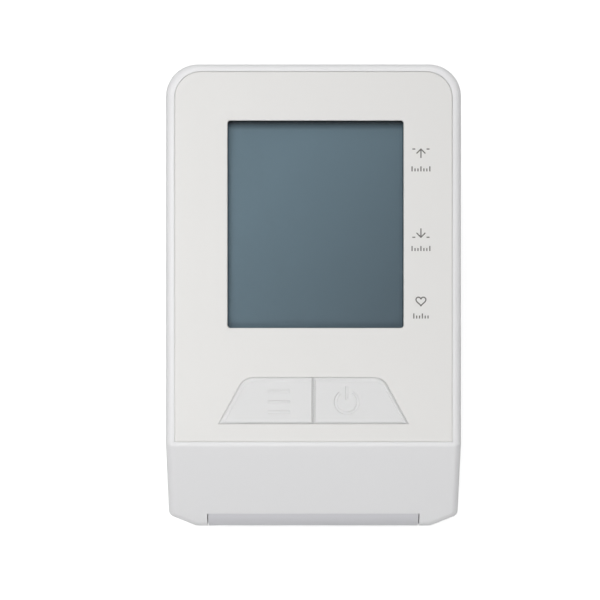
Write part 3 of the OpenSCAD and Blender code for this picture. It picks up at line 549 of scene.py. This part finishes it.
@dataclass(frozen=True)
class LiquidCrystal:
    """The polarised face of a switched-off liquid crystal cell, with painted shadow and painted
    shade on it.
    """

    name: str = "liquid_crystal"
    # The film's tone is painted shade: colour at the upper left, deep at the lower right.
    colour: tuple[float, float, float] = (110, 132, 144)
    deep: tuple[float, float, float] = (79, 93, 102)
    # A printed black mask, deepened into painted shadow of the window's edges.
    border: tuple[float, float, float] = (3, 4, 5)
    # The border's painted shadow under the window's upper edge reaches down from top over its fade
    # width.
    top: float = 109.65
    top_shadow_fade: float = 2.8
    middle: float = 0.7
    side: float = 29.9
    side_fade: float = 0.6
    fade_curve: float = 1.1
    rough: float = 0.4
    specular: float = 0.12
    # Slant and span in mm of the painted shade across the film.
    painted_shade_lean: float = 1.2
    fall: tuple[float, float] = (-55.0, 75.0)
    grain_scale: float = 5200.0
    grain_depth: float = 0.002

    def make(self) -> Material:
        """Builds the material: a slow painted fall of tone across the film and a fine film
        texture.

        The painted shade darkens the film towards the lower right, in place of the fall of
        reflected light. The dark border darkens with the distance past a line, over a short
        fade: towards the upper end by the place along the slope, and towards the sides by the
        distance from the middle of the opening. It is a printed mask deepened into painted
        shadow of the window's edges, widest under the upper edge.
        """
        mat, bench, out = fresh(self.name)
        shader = bench.add(
            "ShaderNodeBsdfPrincipled", Roughness=self.rough, Specular_IOR_Level=self.specular
        )
        where = bench.add("ShaderNodeTexCoord")
        up = PANEL.up()
        along = bench.add("ShaderNodeVectorMath", operation="DOT_PRODUCT", second=tuple(up))
        # Painted shadow: the border colour fades in towards the window's upper edge and, thinner,
        # towards its sides.
        crease = (PANEL.crease_y * up[1] + PANEL.crease_z * up[2]) * MM
        upper = bench.add(
            "ShaderNodeMapRange", From_Min=crease + (self.top - self.top_shadow_fade) * MM,
            From_Max=crease + self.top * MM,
        )
        curve = bench.maths("POWER", self.fade_curve)
        shift = bench.maths("SUBTRACT", self.middle * MM)
        away = bench.maths("ABSOLUTE")
        outer = bench.add(
            "ShaderNodeMapRange", From_Min=(self.side - self.side_fade) * MM,
            From_Max=self.side * MM,
        )
        edge = bench.maths("MAXIMUM")
        framed_and_shadowed = bench.add("ShaderNodeMix", data_type="RGBA", B=srgb(*self.border))
        split = bench.add("ShaderNodeSeparateXYZ")
        # Painted shade: the film goes from colour to deep towards the lower right.
        lean = bench.maths("MULTIPLY", self.painted_shade_lean)
        total = bench.maths("SUBTRACT")
        spread = bench.add(
            "ShaderNodeMapRange", From_Min=self.fall[0] * MM, From_Max=self.fall[1] * MM
        )
        blend = bench.add(
            "ShaderNodeMix", data_type="RGBA", A=srgb(*self.colour), B=srgb(*self.deep),
        )
        grained(bench, shader, self.grain_scale, self.grain_depth)
        bench.link(where, "Object", split, 0)
        bench.link(split, "X", lean, 0)
        bench.link(lean, 0, total, 0)
        bench.link(split, "Y", total, 1)
        bench.link(total, 0, spread, "Value")
        bench.link(spread, 0, blend, "Factor")
        bench.link(where, "Object", along, 0)
        bench.link(along, "Value", upper, "Value")
        bench.link(upper, 0, curve, 0)
        bench.link(split, "X", shift, 0)
        bench.link(shift, 0, away, 0)
        bench.link(away, 0, outer, "Value")
        bench.link(curve, 0, edge, 0)
        bench.link(outer, 0, edge, 1)
        bench.link(edge, 0, framed_and_shadowed, "Factor")
        bench.link(blend, "Result", framed_and_shadowed, "A")
        bench.link(framed_and_shadowed, "Result", shader, "Base Color")
        bench.link(shader, 0, out, "Surface")
        return mat


class Finish(Enum):
    """Every finish of the console."""

    # The housing white is painted a little lighter, to lift the apron, and the key white a little
    # darker than the one plastic they share: painted light and painted shade.
    HOUSING = Moulded("housing_white", (235, 235, 236), 0.4, tone=0.012, dust=0.02)
    KEY = Moulded("key_white_painted_shade", (224, 224, 224), 0.4, tone=0.012)
    # The door white is painted darker and bluer than the housing: painted shade of the rolled
    # front.
    DOOR = Moulded("door_white_painted_shade", (218, 218, 222), 0.42, tone=0.014, dust=0.02)
    PLATE = Moulded("plate_warm_white", (229, 228, 226), 0.4, 3600, 0.004, tone=0.01)
    LENS = Moulded("display_lens", (90, 100, 106), 0.06, 800, 0.0005, 0.0, alpha=0.06)
    CELL = LiquidCrystal()
    INK = Moulded("printed_ink", (104, 101, 98), 0.5, 4000, 0.003, 0.05)
    LIGHT = Moulded("natural_white", (216, 215, 210), 0.5, tone=0.03)
    BLACK_RUBBER = Moulded("rubber_black", (36, 36, 38), 0.75, 2500, 0.02, 0.1)
    LAMINATE = Moulded("solder_mask", (38, 92, 62), 0.3, 2600, 0.01, 0.2, coat=0.3)
    BLACK = Moulded("moulded_black", (38, 38, 40), 0.5, 3000, 0.008, 0.08)
    NYLON = Moulded("natural_nylon", (230, 225, 210), 0.42, 2500, 0.006, 0.04)
    STEEL = Moulded("plated_steel", (188, 190, 193), 0.3, 1800, 0.004, 0.1, metallic=1.0)
    NICKEL = Moulded("nickel", (206, 208, 210), 0.22, 2200, 0.003, 0.08, metallic=1.0)
    ALUMINIUM = Moulded("aluminium_can", (160, 164, 168), 0.35, 2000, 0.004, 0.1, metallic=1.0)
    PUMP = Moulded("pump_grey", (66, 70, 74), 0.55, 2600, 0.01, 0.08)
    FOAM = Moulded("cell_foam", (86, 88, 91), 0.95, 900, 0.12, 0.2)
    VALVE = Moulded("valve_buff", (196, 190, 176), 0.5, 2600, 0.008, 0.06)
    SILICONE = Moulded("silicone_hose", (212, 215, 214), 0.38, 1500, 0.006, 0.05)
    PORT = Moulded("port_grey", (199, 201, 203), 0.3, 3000, 0.004, 0.03)
    SLEEVE = Moulded("cell_wrap", (60, 74, 90), 0.25, 1200, 0.004, 0.1, coat=0.5)
    LEAD = Moulded("lead_sheath", (150, 42, 34), 0.35, 2000, 0.004, 0.05)
    FOOT = Moulded("grey_elastomer", (139, 141, 144), 0.8, 2400, 0.02, 0.08)

    def material(self) -> Material:
        """The finish's material, made at its first use."""
        found = bpy.data.materials.get(self.value.name)
        return found or self.value.make()


# ---- strokes


@dataclass(frozen=True)
class Stroke:
    """A bar of a given width and height that is carried along a flat path on the panel."""

    path: tuple[tuple[float, float], ...]
    closed: bool = False

    def mesh(self, width: float, low: float, high: float, slope: float) -> tuple:
        """Carries a four-point section along the path.

        The section is a trapezium: its foot is as wide as the stroke at the lower level and
        its top is narrower by twice the slope.

        Args:
            width: width of the foot in mm.
            low: level of the foot over the panel in mm.
            high: level of the top in mm.
            slope: inset of each flank in mm.

        Returns:
            Panel points and quads.
        """
        p = np.array(self.path, float)
        if self.closed:
            before, after = np.roll(p, 1, 0), np.roll(p, -1, 0)
        else:
            before = np.vstack([2 * p[0] - p[1], p[:-1]])
            after = np.vstack([p[1:], 2 * p[-1] - p[-2]])
        e0, e1 = p - before, after - p
        e0 /= np.linalg.norm(e0, axis=1, keepdims=True)
        e1 /= np.linalg.norm(e1, axis=1, keepdims=True)
        n0 = np.column_stack([e0[:, 1], -e0[:, 0]])
        n1 = np.column_stack([e1[:, 1], -e1[:, 0]])
        side = (n0 + n1) / np.maximum(1 + (n0 * n1).sum(1, keepdims=True), MITRE_LEAST)
        half = np.array([width / 2, width / 2 - slope, slope - width / 2, -width / 2])
        level = np.array([low, high, high, low])
        flat = p[:, None] + half[None, :, None] * side[:, None]
        levels = np.broadcast_to(level[None, :, None], (*flat.shape[:2], 1))
        points = np.concatenate([flat, levels], 2)
        n = len(p)
        last = (n - 1) * 4
        faces = grid_faces(n, 4).tolist()
        if self.closed:
            faces += [[last + k, last + (k + 1) % 4, (k + 1) % 4, k] for k in range(4)]
        else:
            faces += [[3, 2, 1, 0], [last + k for k in range(4)]]
        return points.reshape(-1, 3), [f[::-1] for f in faces]

    def trench(self, width: float, top: float, depth: float, slope: float) -> tuple:
        """An engraved channel along the path: two flanks, a floor and an end wall at each end.

        Args:
            width: width of the channel's mouth in mm.
            top: level of the mouth over the panel in mm.
            depth: depth of the floor under the mouth in mm.
            slope: inset of each flank in mm.

        Returns:
            Panel points, quads, and the point indices round the mouth.
        """
        points, _ = self.mesh(width, top, top - depth, slope)
        n = len(self.path)
        faces = grid_faces(n, 4, wrap=False).tolist()
        ends = [[0, 1, 2, 3], [(n - 1) * 4 + k for k in (3, 2, 1, 0)]]
        mouth = [4 * i for i in range(n)] + [4 * i + 3 for i in reversed(range(n))]
        return points, faces + ends, mouth


def arc(x: float, s: float, r: float, start: float, end: float, steps: int = 40) -> tuple:
    """Points of an arc about (x, s) of radius r, from start to end in degrees."""
    a = np.radians(np.linspace(start, end, steps + 1))
    return tuple(map(tuple, np.column_stack([x + r * np.cos(a), s + r * np.sin(a)])))


# ---- sub-assemblies


@dataclass
class Housing:
    """The two halves of the housing, with the feet, the screws and the sockets in them."""

    edge: float = SHELL_EDGE

    def build(self) -> None:
        """Dresses the two halves and the small parts that show from outside."""
        # The housing white carries painted light.
        shell = Finish.HOUSING.material()
        carried_over("upper_housing", Rides.CONSOLE, shell, self.edge)
        carried_over("lower_housing", Rides.CONSOLE, shell, self.edge)
        for node, slot, finish in (
            ("rubber_feet", "foot_rubber", Finish.FOOT),
            ("case_screws", "screw_steel", Finish.STEEL),
            ("air_port", "port_plastic", Finish.PORT),
            ("port_seal", "black_rubber", Finish.BLACK_RUBBER),
            ("dc_jack", "black_plastic", Finish.BLACK),
            ("jack_pin", "contact_metal", Finish.NICKEL),
        ):
            carried_over(node, Rides.CONSOLE, finish.material())


@dataclass
class Faceplate:
    """The warm white plate in the panel's recess."""

    half_w: float = 46.8
    low: float = 1.4
    high: float = 126.2
    corner: float = 8.8
    low_corner: float = 0.3
    thick: float = 1.2
    edge: float = 0.16
    step_out: float = 0.2
    step_deep: float = 0.24
    step_deep_low: float = 0.08
    window: tuple[float, float, float, float] = (0.7, 74.75, 59.5, 70.1)
    window_r: float = 1.0
    window_edge: float = 0.35
    keys_edge: float = 0.15
    sharp: float = 50

    def outline(self) -> np.ndarray:
        """The plate's outer loop."""
        w, low, high = self.half_w, self.low, self.high
        below = [(-w, low, self.low_corner), (w, low, self.low_corner)]
        return rounded_loop([*below, (w, high, self.corner), (-w, high, self.corner)], 24)

    def window_loop(self) -> np.ndarray:
        """The loop of the display opening."""
        x, s, w, h = self.window
        turns = ((-1, -1), (1, -1), (1, 1), (-1, 1))
        return rounded_loop([(x + i * w / 2, s + j * h / 2, self.window_r) for i, j in turns], 8)

    def build(self, keys_loop: np.ndarray) -> None:
        """Makes the plate.

        Each border is a profile (inset, level) carried along its loop: down the wall, round
        the edge and onto the face. The faces between the loops are filled with triangles.

        Args:
            keys_loop: the loop of the keys' opening.
        """
        points: list[np.ndarray] = []
        faces: list = []
        rims: list[tuple[np.ndarray, np.ndarray]] = []
        start = 0
        for loop, r, out in (
            (self.outline(), self.edge, 1.0),
            (self.window_loop(), self.window_edge, -1.0),
            (keys_loop, self.keys_edge, -1.0),
        ):
            profile = round_over(self.thick, r)
            mitre = mitres(loop)
            rows = [
                np.column_stack([loop - out * inset * mitre, np.full(len(loop), level)])
                for inset, level in profile
            ]
            if out > 0:
                rows = self.stepped(loop, mitre) + rows[1:]
            quads = grid_faces(len(rows), len(loop), True, start)
            faces += (quads if out > 0 else quads[:, ::-1]).tolist()
            points += rows
            first = np.arange(len(loop)) + start
            rims.append((first, first + (len(rows) - 1) * len(loop)))
            start += len(rows) * len(loop)
        fills = [[rim[level].tolist() for rim in rims] for level in (0, 1)]
        mesh = panel_mesh("faceplate_skin", np.concatenate(points), faces, fills)
        look, stands_for = Finish.PLATE.material(), ("faceplate",)
        finish_piece(
            "faceplate_skin", mesh, Rides.CONSOLE, look, stands_for, self.sharp
        )

    def stepped(self, loop: np.ndarray, mitre: np.ndarray) -> list[np.ndarray]:
        """The plate's wall under its edge, which steps out so that the gap looks shallow.

        The step lies deeper along the sides and the rear than along the low edge.

        Args:
            loop: the plate's outer loop.
            mitre: its outward mitres.

        Returns:
            Three rows of panel points, from the foot of the wall up.
        """
        in_low_edge = loop[:, 1] < self.low + 2 * self.low_corner
        deep = np.where(in_low_edge, self.step_deep_low, self.step_deep)
        outer = loop + self.step_out * mitre
        return [
            np.column_stack([outer, np.full(len(loop), -self.thick)]),
            np.column_stack([outer, -deep - self.edge]),
            np.column_stack([loop, -deep - self.edge]),
        ]


@dataclass
class Marks:
    """The plain marks that are printed beside the display, each over a scale of ticks.

    A tall tick comes first on a scale and then at every third place.
    """

    x: float = 36.3
    arrows: tuple[tuple[float, int], ...] = ((98.65, 1), (71.85, -1))
    arrow_half: float = 1.5
    bar: tuple[float, float] = (1.9, 2.9)
    heart_s: float = 48.85
    heart_size: float = 0.105
    scales: tuple[tuple[float, float, int], ...] = ((92.6, 3.0, 7), (65.7, 3.0, 7), (42.9, 2.4, 6))
    tall: float = 1.7
    short: float = 1.0
    width: float = 0.42
    levels: tuple[float, float] = (-0.01, 0.012)
    slope: float = 0.02

    def arrow(self, middle: float, up: int) -> list[Stroke]:
        """An arrow between two short bars at its tip.

        Args:
            middle: its middle up the slope in mm.
            up: 1 where it points up, -1 where it points down.

        Returns:
            Its strokes.
        """
        x, half = self.x, self.arrow_half
        near, far = self.bar
        tip, foot = middle + up * half, middle - up * half
        return [
            Stroke(((x, foot), (x, tip))),
            Stroke(((x - half, tip - up * half), (x, tip), (x + half, tip - up * half))),
            Stroke(((x - far, tip), (x - near, tip))),
            Stroke(((x + near, tip), (x + far, tip))),
        ]

    def heart(self) -> Stroke:
        """A heart's outline: 16 sin^3 t across; 13 cos t - 5 cos 2t - 2 cos 3t - cos 4t up."""
        t = np.linspace(0, 2 * math.pi, 48, endpoint=False)
        across = 16 * np.sin(t) ** 3
        up = 13 * np.cos(t) - 5 * np.cos(2 * t) - 2 * np.cos(3 * t) - np.cos(4 * t)
        size = self.heart_size
        loop = np.column_stack([self.x - size * across, self.heart_s + size * up])
        return Stroke(tuple(map(tuple, loop)), True)

    def scale(self, s: float, half: float, count: int) -> list[Stroke]:
        """A row of ticks on one line.

        Args:
            s: the line's place up the slope in mm.
            half: half the row's width in mm.
            count: number of ticks.

        Returns:
            One stroke a tick.
        """
        places = enumerate(np.linspace(self.x - half, self.x + half, count))
        tops = [(at, s + (self.short if i % 3 else self.tall)) for i, at in places]
        return [Stroke(((at, s), (at, top))) for at, top in tops]

    def build(self) -> None:
        """Prints the marks: an arrow up, an arrow down and a heart, and their scales."""
        strokes = [stroke for row in self.arrows for stroke in self.arrow(*row)]
        strokes.append(self.heart())
        strokes += [stroke for row in self.scales for stroke in self.scale(*row)]
        points, faces, start = [], [], 0
        for stroke in strokes:
            p, f = stroke.mesh(self.width, *self.levels, self.slope)
            points.append(p)
            faces += [[i + start for i in face] for face in f]
            start += len(p)
        mesh = panel_mesh("printed_marks", np.concatenate(points), faces)
        look = Finish.INK.material()
        finish_piece("printed_marks", mesh, Rides.CONSOLE, look)


@dataclass
class Keys:
    """The pair of keys below the display, each with its engraved sign."""

    low: float = 7.5
    high: float = 22.88
    low_half: float = 31.85
    top_half: float = 23.4
    corner: float = 5.2
    split: float = 0.8
    gap: float = 0.25
    side_gap: float = 0.18
    rise: float = 0.45
    flange: float = 1.0
    step_out: float = 0.2
    side_out: float = 0.13
    step_deep: float = 0.3
    inner_step: float = 0.02
    inner_deep: float = 0.85
    foot: float = -4.6
    flange_top: float = -3.62
    wall_foot: float = -3.58
    depth: float = 0.32
    slope: float = 0.22
    stroke: float = 1.0
    bars: tuple[float, ...] = (11.3, 14.8, 18.3)
    bar_ends: tuple[float, float] = (-15.5, -7.9)
    ring: tuple[float, float, float, float, float] = (11.2, 14.7, 3.8, 127, 420)
    stem: tuple[float, float] = (15.5, 20.0)
    sharp: float = 40

    @property
    def lean(self) -> float:
        """How far the slanted side leans in for each millimetre up."""
        return (self.low_half - self.top_half) / (self.high - self.low)

    def outline(self, grow: float, low_grow: float) -> list[tuple[float, float, float]]:
        """Corners of the pair's outline: (x, s, radius), anticlockwise.

        A slanted side moved out by grow shifts along x by grow times the root of 1 + lean^2.

        Args:
            grow: how far the top and the slanted sides are moved out, in mm.
            low_grow: how far the low edge is moved out.

        Returns:
            The four corners.
        """
        slant = math.hypot(1, self.lean)
        low_x = self.low_half + self.lean * low_grow + grow * slant
        top_x = self.top_half - self.lean * grow + grow * slant
        r = self.corner + grow
        low, high = self.low - low_grow, self.high + grow
        return [(-low_x, low, 0), (low_x, low, 0), (top_x, high, r), (-top_x, high, r)]

    def opening(self) -> np.ndarray:
        """The loop of the opening in the faceplate."""
        return rounded_loop(self.outline(self.side_gap, self.gap), 12)

    def key_loop(self, side: Side, draw_in: float, low_grow: float, inner: float) -> np.ndarray:
        """The loop of one key.

        Args:
            side: which key.
            draw_in: how far its top and its slanted side are drawn in, in mm.
            low_grow: how far its low edge is moved out.
            inner: the place of its inner side, from the middle.

        Returns:
            The points of the loop, anticlockwise.
        """
        (_, low, _), (low_x, _, _), (top_x, high, r), _ = self.outline(-draw_in, low_grow)
        right = [(inner, low, 0.0), (low_x, low, 0.0), (top_x, high, r), (inner, high, 0.0)]
        if side is Side.RIGHT:
            return rounded_loop(right, 16)
        return rounded_loop([(-x, s, q) for x, s, q in right[::-1]], 16)

    def profile(self) -> list[tuple[float, float, float, float]]:
        """The key's border as (draw_in, low_grow, inner side, level) rows, from the flange up.

        Over the flange comes the wall with its shallow step, then the rounded edge, a flat
        band, a low ridge and the fall from the ridge to the flat top.
        """
        out, side = self.step_out, self.side_out
        gap, deep, top = self.split / 2, self.step_deep, self.rise
        return [
            (-self.flange, self.flange, gap, self.foot),
            (-self.flange, self.flange, gap, self.flange_top),
            (-side, out, self.inner_step, self.wall_foot),
            (-side, out, self.inner_step, -self.inner_deep),
            (-side, out, gap, -self.inner_deep),
            (-side, out, gap, -deep),
            (0.0, 0.0, gap, -deep),
            (0.0, 0.0, gap, -0.08),
            (0.04, -0.05, gap + 0.04, 0.0),
            (0.12, -0.1, gap + 0.1, 0.05),
            (0.46, -0.14, gap + 0.14, top - 0.1),
            (0.56, -0.18, gap + 0.18, top - 0.04),
            (0.66, -0.2, gap + 0.2, top - 0.04),
            (0.86, -0.24, gap + 0.24, top - 0.14),
            (0.96, -0.3, gap + 0.28, top - 0.13),
            (1.14, -0.36, gap + 0.32, top - 0.02),
            (1.24, -0.42, gap + 0.36, top),
            (1.34, -0.46, gap + 0.4, top - 0.01),
            (1.5, -0.52, gap + 0.46, top - 0.11),
            (1.62, -0.6, gap + 0.5, top - 0.12),
        ]

    def build_key(self, side: Side, name: str, body: Rides, signs: list[Stroke]) -> None:
        """Makes one key: its border as rows of one grid, and its top with the engraved sign.

        Args:
            side: which key.
            name: the CAD node that it stands for.
            body: what it rides on.
            signs: the strokes of its sign, which must not touch.
        """
        rows = []
        for draw_in, low_grow, inner, level in self.profile():
            loop = self.key_loop(side, draw_in, low_grow, inner)
            rows.append(np.column_stack([loop, np.full(len(loop), level)]))
        n, top = len(rows[0]), rows[-1][0, 2]
        points = list(rows)
        faces = grid_faces(len(rows), n).tolist()
        faces.append(list(range(n))[::-1])
        start = len(rows) * n
        rings = [[start - n + k for k in range(n)]]
        for stroke in signs:
            p, f, mouth = stroke.trench(self.stroke, top, self.depth, self.slope)
            points.append(p)
            faces += [[i + start for i in face] for face in f]
            rings.append([i + start for i in mouth])
            start += len(p)
        mesh = panel_mesh(f"{name}_cap", np.concatenate(points), faces, [rings])
        # The key white carries painted shade.
        look = Finish.KEY.material()
        finish_piece(f"{name}_cap", mesh, body, look, (name,), self.sharp)

    def build(self) -> None:
        """Makes both keys, with the list sign on the left and the standby sign on the right."""
        left, right = self.bar_ends
        bars = [Stroke(((left, s), (right, s))) for s in self.bars]
        self.build_key(Side.LEFT, "memory_button", Rides.MEMORY_KEY, bars)
        x, (low, high) = self.ring[0], self.stem
        standby = [Stroke(arc(*self.ring)), Stroke(((x, low), (x, high)))]
        self.build_key(Side.RIGHT, "power_button", Rides.POWER_KEY, standby)


@dataclass
class Display:
    """The lens and the liquid crystal cell behind it."""

    def build(self) -> None:
        """Dresses the lens and the cell."""
        carried_over("display_window", Rides.CONSOLE, Finish.LENS.material())
        carried_over("lcd_glass", Rides.CONSOLE, Finish.CELL.material())


@dataclass
class BatteryDoor:
    """The battery door with its rolled front."""

    axis: tuple[float, float] = (-67.0971, 9.0)
    slope: float = 39.0
    roll: float = 7.5
    thick: float = 1.8
    lip: float = 0.1
    reach: float = 0.24
    slack_up: float = 0.02
    slack_out: float = 0.05
    edge: float = SHELL_EDGE

    def build(self) -> None:
        """Dresses the door and lets its upper lip reach towards the apron.

        A point belongs to the lip's end where it lies past the roll along the apron's slope
        and no deeper than the door is thick. Those points move up the slope by the reach.
        """
        # The door takes the painted-shade white.
        look = Finish.DOOR.material()
        door = carried_over(
            "battery_door", Rides.BATTERY_COVER, look, self.edge
        )
        at = np.empty(len(door.data.vertices) * 3)
        door.data.vertices.foreach_get("co", at)
        at = at.reshape(-1, 3)
        a = math.radians(self.slope)
        up = np.array([0.0, math.cos(a), math.sin(a)])
        out = np.array([0.0, -math.sin(a), math.cos(a)])
        away = at / MM - np.array([0.0, *self.axis])
        past = away @ up > self.lip - self.slack_up
        end = past & (away @ out > self.roll - self.thick - self.slack_out)
        at[end] += up * self.reach * MM
        door.data.vertices.foreach_set("co", at.ravel())
        door.data.update()
        log.info("battery_door: %d points of the lip moved", int(end.sum()))


@dataclass
class Insides:
    """Everything that the housing holds: it keeps its solids and gets its finishes."""

    finishes: dict[Finish, tuple[str, ...]] = field(default_factory=lambda: {
        Finish.LIGHT: ("lcd_holder",),
        Finish.BLACK_RUBBER: ("lcd_connectors",),
        Finish.BLACK: ("memory_switch", "power_switch", "microcontroller", "board_chips",
                       "buzzer", "pressure_sensor", "bleed_valve"),
        Finish.STEEL: ("memory_plunger", "power_plunger", "pump_motor", "board_screws"),
        Finish.LAMINATE: ("main_board",),
        Finish.ALUMINIUM: ("board_capacitors",),
        Finish.NYLON: ("board_connectors", "air_manifold"),
        Finish.PUMP: ("pump_head",),
        Finish.FOAM: ("pump_sleeve",),
        Finish.VALVE: ("release_valve",),
        Finish.SILICONE: ("pump_hose", "valve_hose", "sensor_hose", "port_hose"),
        Finish.SLEEVE: ("aa_cells",),
        Finish.NICKEL: ("spring_contacts", "plate_contacts"),
        Finish.LEAD: ("motor_leads", "valve_leads", "battery_leads"),
    })

    def build(self) -> None:
        """Gives each inner solid its finish."""
        for finish, nodes in self.finishes.items():
            for node in nodes:
                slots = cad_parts[node].data.materials
                slots.clear()
                slots.append(finish.material())
                log.info("%s: %s", node, finish.value.name)


@dataclass(frozen=True)
class Lamp:
    """A square soft lamp, placed in metres from the panel's middle: across, up and out."""

    name: str
    lean: tuple[float, float, float]
    size: float
    watts: float
    panel_middle: float = 60.0

    def hang(self) -> None:
        """Hangs the lamp so that it faces the panel's middle, unseen by the camera."""
        middle = PANEL.place(np.array([[0.0, self.panel_middle, 0.0]]))[0]
        across = np.array([1.0, 0.0, 0.0])
        x, s, h = self.lean
        at = middle + x * across + s * PANEL.up() + h * PANEL.normal()
        light = bpy.data.lights.new(self.name, "AREA")
        light.shape = "SQUARE"
        light.size = self.size
        light.energy = self.watts
        obj = bpy.data.objects.new(self.name, light)
        obj.location = at
        obj.visible_camera = False
        obj.rotation_mode = "QUATERNION"
        obj.rotation_quaternion = Vector(middle - at).to_track_quat("-Z", "Y")
        bpy.context.scene.collection.objects.link(obj)


@dataclass
class Studio:
    """The pale floor, the sky, the soft lamps and the camera."""

    distance: float = 0.8
    aim: tuple[float, float] = (-4.56, 49.15)
    pixels_per_mm: float = 2.96
    sky_high: float = 0.3
    sky_rear: float = 0.52
    sky_front: float = 0.0
    floor_seen: float = 0.86
    floor_bounce: float = 0.3
    floor_glow: float = 0.55
    floor_half: float = 4.0
    floor_rough: float = 0.9
    sky_turn: tuple[float, float] = (-0.85, 0.35)
    sensor: float = 36.0
    picture: int = 600
    clip: tuple[float, float] = (0.01, 20.0)
    lamps: tuple[Lamp, ...] = (
        Lamp("key_left", (-0.25, 0.03, 0.55), 0.35, 1.48),
        Lamp("front", (0.06, -0.52, 0.8), 0.5, 2.55),
        Lamp("top", (0.1, 0.75, 0.7), 0.5, 2.1),
    )

    def floor(self) -> None:
        """Lays a wide white floor under the feet that still takes the console's shadow.

        Camera and glossy rays see it pale, and the light that it throws back is that of a
        greyer floor. From below it can be seen through.
        """
        mesh = bpy.data.meshes.new("floor")
        a = self.floor_half
        mesh.from_pydata([(-a, -a, 0), (a, -a, 0), (a, a, 0), (-a, a, 0)], [], [(0, 1, 2, 3)])
        obj = bpy.data.objects.new("floor", mesh)
        bpy.context.scene.collection.objects.link(obj)
        mat, bench, out = fresh("floor_white")
        paint = bench.add(
            "ShaderNodeBsdfPrincipled", Roughness=self.floor_rough, Emission_Color=(1, 1, 1, 1)
        )
        path = bench.add("ShaderNodeLightPath")
        seen = bench.maths("MAXIMUM")
        tone = bench.add(
            "ShaderNodeMix", data_type="RGBA", A=(*(self.floor_bounce,) * 3, 1),
            B=(*(self.floor_seen,) * 3, 1),
        )
        glow = bench.maths("MULTIPLY", self.floor_glow)
        bench.link(path, "Is Camera Ray", seen, 0)
        bench.link(path, "Is Glossy Ray", seen, 1)
        bench.link(seen, 0, tone, "Factor")
        bench.link(seen, 0, glow, 0)
        bench.link(tone, "Result", paint, "Base Color")
        bench.link(glow, 0, paint, "Emission Strength")
        under = bench.add("ShaderNodeNewGeometry")
        clear = bench.add("ShaderNodeBsdfTransparent")
        sided = bench.add("ShaderNodeMixShader")
        bench.link(under, "Backfacing", sided, 0)
        bench.link(paint, 0, sided, 1)
        bench.link(clear, 0, sided, 2)
        bench.link(sided, 0, out, "Surface")
        mesh.materials.append(mat)

    def sky(self) -> None:
        """Soft light from above and round the rear, darker in front; the camera sees white.

        At the horizon the strength follows the direction from front to rear, and from there
        to the zenith it changes with the direction's height.
        """
        world = bpy.data.worlds.new("studio")
        world.use_nodes = True
        bench = Bench(world.node_tree)
        out = bench.add("ShaderNodeOutputWorld")
        lit = bench.add("ShaderNodeBackground", Color=(1, 1, 1, 1))
        white = bench.add("ShaderNodeBackground", Strength=1.0, Color=(1, 1, 1, 1))
        where = bench.add("ShaderNodeTexCoord")
        split = bench.add("ShaderNodeSeparateXYZ")
        round_about = bench.add(
            "ShaderNodeMapRange", From_Min=self.sky_turn[0], From_Max=self.sky_turn[1],
            To_Min=self.sky_front, To_Max=self.sky_rear,
        )
        rise = bench.add("ShaderNodeMix", data_type="FLOAT", B=self.sky_high)
        path = bench.add("ShaderNodeLightPath")
        mix = bench.add("ShaderNodeMixShader")
        bench.link(where, "Generated", split, 0)
        bench.link(split, "Y", round_about, "Value")
        bench.link(round_about, 0, rise, "A")
        bench.link(split, "Z", rise, "Factor")
        bench.link(rise, "Result", lit, "Strength")
        bench.link(path, "Is Camera Ray", mix, 0)
        bench.link(lit, 0, mix, 1)
        bench.link(white, 0, mix, 2)
        bench.link(mix, 0, out, "Surface")
        bpy.context.scene.world = world

    def camera(self) -> None:
        """Looks square at the panel, from the distance that gives the picture's scale."""
        cam = bpy.data.cameras.new("camera")
        cam.sensor_width = self.sensor
        cam.sensor_fit = "HORIZONTAL"
        cam.lens = self.pixels_per_mm * self.distance / MM / self.picture * self.sensor
        cam.clip_start, cam.clip_end = self.clip
        obj = bpy.data.objects.new("camera", cam)
        out, up = PANEL.normal(), PANEL.up()
        at = PANEL.place(np.array([[*self.aim, 0.0]]))[0] + out * self.distance
        turn = Matrix((
            (1.0, up[0], out[0]),
            (0.0, up[1], out[1]),
            (0.0, up[2], out[2]),
        ))
        obj.matrix_world = Matrix.Translation(Vector(at)) @ turn.to_4x4()
        bpy.context.scene.collection.objects.link(obj)
        bpy.context.scene.camera = obj

    def build(self) -> None:
        """Sets up the whole studio."""
        self.floor()
        self.sky()
        for lamp in self.lamps:
            lamp.hang()
        self.camera()
        bpy.context.scene.view_settings.view_transform = "Standard"


def main() -> None:
    """Builds the console, piece by piece, and the studio round it."""
    logging.basicConfig(level=logging.INFO, format="%(name)s: %(message)s")
    Studio().build()
    Housing().build()
    keys = Keys()
    Faceplate().build(keys.opening())
    Marks().build()
    keys.build()
    Display().build()
    BatteryDoor().build()
    Insides().build()


if __name__ == "__main__":
    main()
